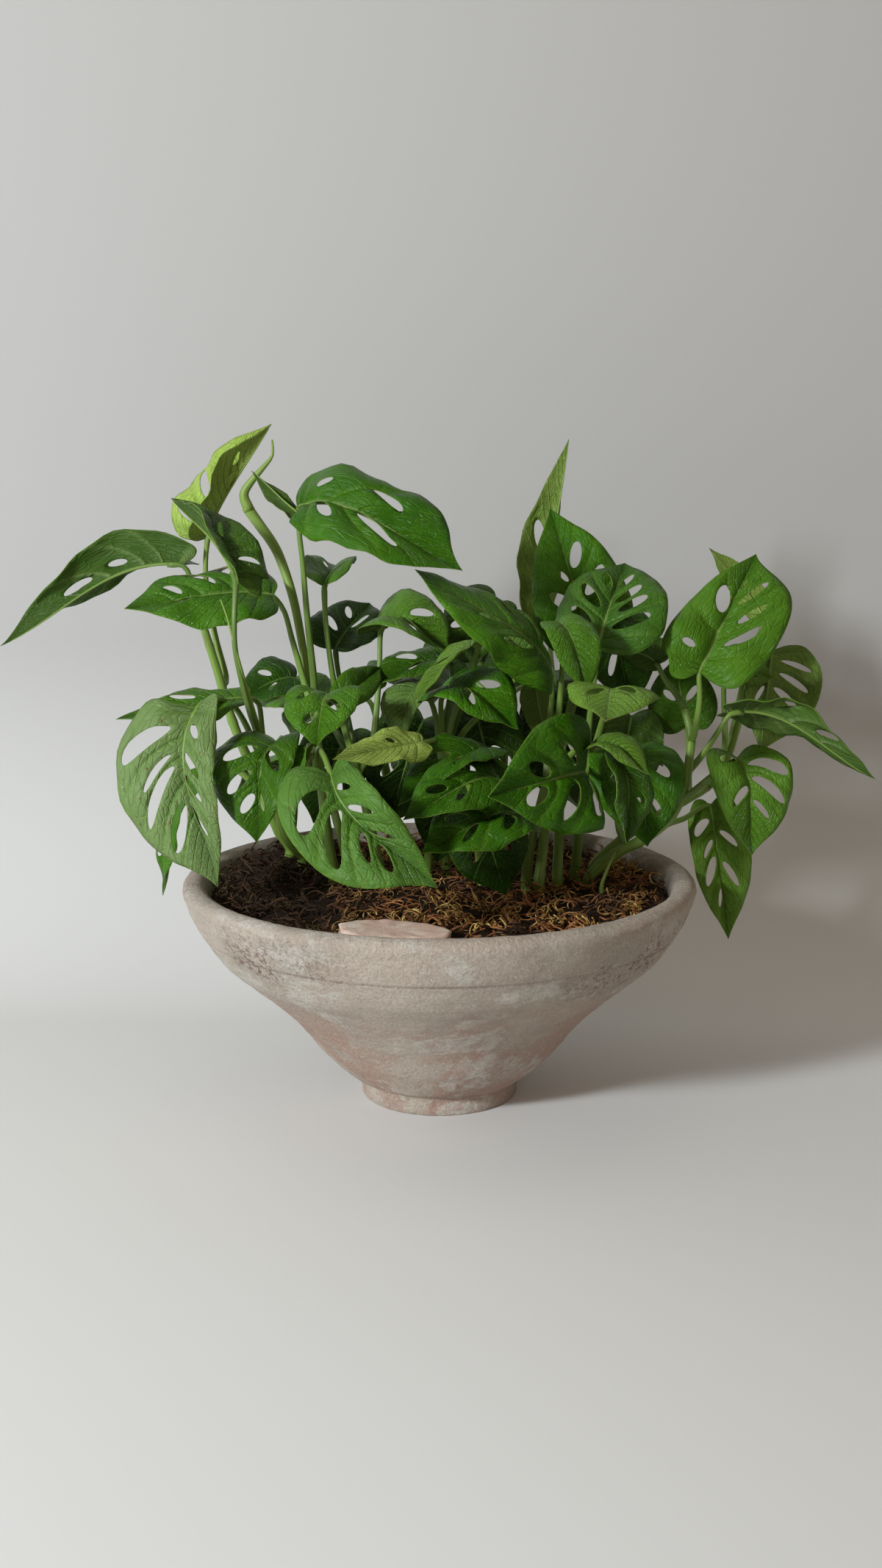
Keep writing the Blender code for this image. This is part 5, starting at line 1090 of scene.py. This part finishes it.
def clayMaterial():
    material, tree, shader = newMaterial("agedClay", 0.92, 0.25)
    place = stretched(tree)
    height = axisOf(tree, place, 2)
    streak = noiseAt(tree, stretched(tree, (9.0, 9.0, 90.0)), 1.0, 5.0, 0.6)
    sand = noiseAt(tree, place, 420.0, 6.0, 0.75)
    low = remap(tree, height, bowlLook["pinkFrom"] * cm, bowlLook["pinkFull"] * cm)
    pink = times(tree, remap(tree, noiseAt(tree, place, 17.0, 8.0, 0.75, 0.4), 0.45, 0.57),
                 maths(tree, "ADD", times(tree, low, 0.95), 0.20))
    fromRing = farFrom(tree, height, bowlLook["pinkRing"] * cm)
    pinkRing = times(tree, remap(tree, fromRing, 0.0, 0.006, 0.45, 0.0), remap(tree, streak, 0.4, 0.6))
    chalk = remap(tree, noiseAt(tree, stretched(tree, (1.0, 1.0, 1.6)), 13.0, 8.0, 0.75, 0.6), 0.53, 0.58)
    broken = remap(tree, noiseAt(tree, place, 90.0, 6.0, 0.75), 0.40, 0.54, 0.15, 0.9)
    # Rust lies in the incised line, and as specks near it and towards the sides
    fromLine = farFrom(tree, height, bowlLook["lineAt"] * cm)
    line = times(tree, remap(tree, fromLine, 0.0004, 0.0015, 0.6, 0.0),
                 remap(tree, noiseAt(tree, place, 12.0, 3.0), 0.38, 0.6, 0.1, 1.0))
    sideways = remap(tree, farFrom(tree, axisOf(tree, place, 0), 0.0), 0.06, 0.11, 0.25, 1.0)
    where = times(tree, remap(tree, noiseAt(tree, place, 21.0, 4.0), 0.46, 0.56), sideways)
    specks = times(tree, remap(tree, noiseAt(tree, place, 240.0, 6.0, 0.75), 0.50, 0.57), where)
    base = layered(tree, clayPaint, "cream", [
        (remap(tree, noiseAt(tree, place, 14.0, 6.0, 0.62), 0.35, 0.68), "grey"),
        (pink, "pink"),
        (pinkRing, "pink"),
        (times(tree, chalk, broken), "chalk"),
        (remap(tree, streak, 0.50, 0.75, 0.0, 0.35), "grey"),
        (line, "rust"),
        (times(tree, specks, remap(tree, fromLine, 0.004, 0.030, 1.0, 0.2)), "rust"),
        (remap(tree, sand, 0.50, 0.60, 0.0, 0.45), "grey"),
        (remap(tree, sand, 0.48, 0.38, 0.0, 0.50), "chalk"),
        (remap(tree, noiseAt(tree, place, 800.0, 2.0), 0.66, 0.72, 0.0, 0.5), "dark"),
    ])
    tree.links.new(base, shader.inputs["Base Color"])
    lumps = noiseAt(tree, place, 150.0, 6.0, 0.7)
    relief = maths(tree, "ADD", sand, maths(tree, "ADD", times(tree, lumps, 1.6), streak))
    bumpTo(tree, shader, relief, 1.0, 0.0028)
    return material


def shardMaterial():
    material, tree, shader = newMaterial("brokenClay", 0.9, 0.25)
    place = stretched(tree)
    dust = remap(tree, noiseAt(tree, place, 60.0, 6.0, 0.65), 0.45, 0.65)
    tree.links.new(mixColour(tree, dust, clayPaint["shard"], clayPaint["cream"]), shader.inputs["Base Color"])
    bumpTo(tree, shader, noiseAt(tree, place, 500.0, 5.0, 0.7), 0.6, 0.0008)
    return material


def shardObject(material):
    # Closed slab with broken edges, cut from its outline and worn by noise
    outline = shardLook["outline"]
    edge = [tuple(p[:2]) for p in smoothPath([(x, y, 0.0) for x, y in outline + outline[:1]], 0.18)][:-1]
    turn = math.radians(shardLook["turn"])
    shrink = [0.85, 0.65, 0.42, 0.2]
    rings = [(0.0, grow) for grow in reversed(shrink)]
    rings += [(0.0, 0.93), (0.10, 1.0), (0.5, 0.985), (0.9, 1.0), (1.0, 0.95)]
    rings += [(1.0, grow) for grow in shrink]
    verts = []
    for share, grow in rings:
        for x, y in edge:
            x, y = x * grow, y * grow
            z = shardLook["rest"] + shardLook["thickness"] * share
            spot = Vector((x, y, z))
            z += shardLook["wear"] * noise.noise(spot * 1.3) * (share > 0.05) + shardLook["tilt"] * (y + 1.5)
            x += shardLook["wear"] * noise.noise(spot * 2.4 + Vector((7.0, 0.0, 0.0))) * (grow > 0.9)
            verts.append((shardLook["at"][0] + x * math.cos(turn) - y * math.sin(turn),
                          shardLook["at"][1] + x * math.sin(turn) + y * math.cos(turn), z))
    count = len(edge)
    faces = ringFaces(len(rings), count)
    faces.append(tuple(range(count)))
    faces.append(tuple(range((len(rings) - 1) * count, len(rings) * count)))
    shard = meshObject("clayShard", verts, faces, [material])
    outwards(shard.data)
    return shard


# Soil that fills the bowl, and the moss and husk fibre that cover it
def soilTop(x, y):
    spot = Vector((x, y, 0.0))
    rough = noise.noise(spot * 0.7) + 0.6 * noise.noise(spot * 1.7) + 0.35 * noise.noise(spot * 4.0)
    return soilHeight(x, y) + soilLook["roughness"] * rough


def soilRows():
    # Radius and height of the closed body's rings, from the floor up the wall; None is a ring of the top
    rows = [(r - soilLook["gap"], z + soilLook["gap"]) for r, z in bowlLook["inner"][1:] if z < 14.7]
    rows.append((soilLook["edgeRadius"] - soilLook["gap"], soilLook["edgeHeight"]))
    count = soilLook["rings"]
    return rows + [(soilLook["edgeRadius"] * (count - i) / (count + 1), None) for i in range(count)]


def nearShard(point):
    # The fibres leave the shard and the ground in front of it free
    turn = math.radians(shardLook["turn"])
    x, y = point[0] - shardLook["at"][0], point[1] - shardLook["at"][1] + shardLook["clearingAhead"]
    wide, deep = shardLook["clearing"]
    return math.hypot((x * math.cos(turn) + y * math.sin(turn)) / wide, y / deep) < 1


def soilObject(material, name="soilBody", topOnly=False):
    around = soilLook["around"]
    rows = [row for row in soilRows() if row[1] is None or not topOnly]
    verts = []
    for radius, height in rows:
        for k in range(around):
            turn = 2 * math.pi * k / around
            x, y = radius * math.cos(turn), radius * math.sin(turn)
            verts.append((x, y, soilTop(x, y) if height is None else height))
    verts.append((0.0, 0.0, soilTop(0.0, 0.0)))
    faces = ringFaces(len(rows), around) + fanFaces(len(rows) - 1, around, len(verts) - 1)
    if topOnly:
        faces = [face for face in faces if not nearShard(verts[face[0]])]
    else:
        verts.append((0.0, 0.0, bowlLook["inner"][0][1] + soilLook["gap"]))
        faces += fanFaces(0, around, len(verts) - 1, True)
    soil = meshObject(name, verts, faces, [material])
    if not topOnly:
        outwards(soil.data)
    return soil


fibreLooks = {  # lengths in metres, density in fibres for each square metre
    "goldenMoss": {"Density": 22000.0, "Seed": 5, "Curl Radius": 0.0042, "Turns": 0.85, "Rise": 0.006,
                   "Thickness": 0.00050, "Tilt": 0.9, "Bend": 0.006, "Patch From": 0.46, "Lift": 0.0012},
    "huskFibre": {"Density": 13000.0, "Seed": 11, "Curl Radius": 0.0085, "Turns": 0.55, "Rise": 0.004,
                  "Thickness": 0.00058, "Tilt": 0.6, "Bend": 0.009, "Patch From": 0.25, "Lift": 0.0008},
    "tallStrands": {"Density": 2600.0, "Seed": 23, "Curl Radius": 0.0100, "Turns": 0.5, "Rise": 0.014,
                    "Thickness": 0.00034, "Tilt": 1.4, "Bend": 0.012, "Patch From": 0.52, "Lift": 0.004},
}
soilPaint = dict(dark=(0.008, 0.005, 0.003), crumb=(0.050, 0.026, 0.012), shade=(0.014, 0.008, 0.004))
fibrePaint = {
    "goldenMoss": dict(finish="goldenMossFibre", main=(0.340, 0.180, 0.045), light=(0.720, 0.510, 0.160),
                       patch=(0.180, 0.065, 0.018)),
    "huskFibre": dict(finish="huskFibre", main=(0.240, 0.085, 0.028), light=(0.430, 0.190, 0.065),
                      patch=(0.050, 0.022, 0.010)),
    "tallStrands": dict(finish="tallStrand", main=(0.090, 0.052, 0.024), light=(0.170, 0.100, 0.040),
                        patch=(0.050, 0.030, 0.016)),
}


def fibreTree(material):
    # Scatters curled fibres on a surface: every length is an input of the tree
    tree = bpy.data.node_groups.new("curledFibres", "GeometryNodeTree")
    face = tree.interface
    face.new_socket(name="Geometry", in_out="INPUT", socket_type="NodeSocketGeometry")
    for name in fibreLooks["goldenMoss"]:
        kind = "NodeSocketInt" if name == "Seed" else "NodeSocketFloat"
        face.new_socket(name=name, in_out="INPUT", socket_type=kind)
    face.new_socket(name="Geometry", in_out="OUTPUT", socket_type="NodeSocketGeometry")
    given = addNode(tree, "NodeGroupInput").outputs
    place = addNode(tree, "GeometryNodeInputPosition").outputs[0]
    patch = addNode(tree, "ShaderNodeTexNoise", {"Vector": place, "Scale": 26.0, "Detail": 3.0}).outputs[0]
    share = remap(tree, patch, given["Patch From"], maths(tree, "ADD", given["Patch From"], 0.14))
    scatter = addNode(tree, "GeometryNodeDistributePointsOnFaces", {
        "Mesh": given["Geometry"], "Density": times(tree, share, given["Density"]), "Seed": given["Seed"]})
    curl = addNode(tree, "GeometryNodeCurveSpiral", {
        "Resolution": 12, "Rotations": given["Turns"], "Height": given["Rise"],
        "Start Radius": times(tree, given["Curl Radius"], 0.55), "End Radius": given["Curl Radius"]})
    ring = addNode(tree, "GeometryNodeCurvePrimitiveCircle", {"Resolution": 3, "Radius": given["Thickness"]})
    fibre = addNode(tree, "GeometryNodeCurveToMesh", {
        "Curve": curl.outputs[0], "Profile Curve": ring.outputs[0], "Fill Caps": True})
    lean = times(tree, given["Tilt"], -1.0)
    least = addNode(tree, "ShaderNodeCombineXYZ", {0: lean, 1: lean, 2: 0.0}).outputs[0]
    most = addNode(tree, "ShaderNodeCombineXYZ", {0: given["Tilt"], 1: given["Tilt"], 2: 6.28}).outputs[0]
    turn = addNode(tree, "FunctionNodeRandomValue", {"Min": least, "Max": most, "Seed": given["Seed"]},
                   data_type="FLOAT_VECTOR").outputs[0]
    size = addNode(tree, "FunctionNodeRandomValue", {2: 0.55, 3: 1.35, "Seed": given["Seed"]},
                   data_type="FLOAT").outputs[1]
    placed = addNode(tree, "GeometryNodeInstanceOnPoints", {
        "Points": scatter.outputs["Points"], "Instance": fibre.outputs[0], "Rotation": turn, "Scale": size})
    real = addNode(tree, "GeometryNodeRealizeInstances", {0: placed.outputs[0]})
    bend = addNode(tree, "ShaderNodeTexNoise", {"Vector": place, "Scale": 85.0, "Detail": 1.0})
    offset = addNode(tree, "ShaderNodeVectorMath", {0: bend.outputs["Color"], 1: (0.5, 0.5, 0.5)},
                     operation="SUBTRACT").outputs[0]
    offset = addNode(tree, "ShaderNodeVectorMath", {0: offset, "Scale": given["Bend"]},
                     operation="SCALE").outputs[0]
    lift = addNode(tree, "ShaderNodeCombineXYZ", {2: given["Lift"]}).outputs[0]
    offset = addNode(tree, "ShaderNodeVectorMath", {0: offset, 1: lift}, operation="ADD").outputs[0]
    bent = addNode(tree, "GeometryNodeSetPosition", {"Geometry": real.outputs[0], "Offset": offset})
    painted = addNode(tree, "GeometryNodeSetMaterial", {"Geometry": bent.outputs[0], "Material": material})
    addNode(tree, "NodeGroupOutput", {0: painted.outputs[0]})
    return tree


def fibrePiece(name, material):
    ground = soilObject(material, name, topOnly=True)
    grown = ground.modifiers.new("Fibres", "NODES")
    grown.node_group = fibreTree(material)
    for item in grown.node_group.interface.items_tree:
        if item.in_out == "INPUT" and item.name in fibreLooks[name]:
            grown[item.identifier] = fibreLooks[name][item.name]
    return bakeModifiers(ground)


def fibreMaterial(name, paint):
    material, tree, shader = newMaterial(name, 0.8, 0.3)
    place = stretched(tree)
    base = layered(tree, paint, "main", [
        (remap(tree, noiseAt(tree, place, 170.0, 3.0), 0.44, 0.58), "light"),
        (remap(tree, noiseAt(tree, place, 34.0, 3.0), 0.45, 0.65), "patch"),
    ])
    # Painted shade: the moss gets darker towards the left, where the leaves hang over it
    paintedShadeLeft = remap(tree, axisOf(tree, place, 0), -0.04, -0.09, 0.0, 0.88)
    base = mixColour(tree, paintedShadeLeft, base, soilPaint["shade"])
    tree.links.new(base, shader.inputs["Base Color"])
    bumpTo(tree, shader, noiseAt(tree, place, 1800.0, 2.0), 0.4, 0.0003)
    return material


def soilMaterial():
    material, tree, shader = newMaterial("darkSoil", 0.95, 0.2)
    crumbs = noiseAt(tree, stretched(tree), 260.0, 8.0, 0.7)
    base = mixColour(tree, remap(tree, crumbs, 0.35, 0.65), soilPaint["dark"], soilPaint["crumb"])
    tree.links.new(base, shader.inputs["Base Color"])
    bumpTo(tree, shader, crumbs, 0.9, 0.003)
    return material


asPiece(bowlObject(clayMaterial()), ["bowl"])
asPiece(shardObject(shardMaterial()), ["shard"])
print("bowl and shard are made")

asPiece(soilObject(soilMaterial()), ["soil"])
for name, paint in fibrePaint.items():
    piece = fibrePiece(name, fibreMaterial(paint["finish"], paint))
    asPiece(piece, [])
    print(name, "has", len(piece.data.polygons), "faces")

greens = dict(top=leafTopMaterial(), under=leafUnderMaterial(), rim=leafRimMaterial(), stalk=stalkMaterial())
for index, name in enumerate(list(shoots) + ["shoot_sprout"]):
    for piece in leafyShoot(name, index, greens):
        asPiece(piece, [name])
print("the leafy shoots are made")
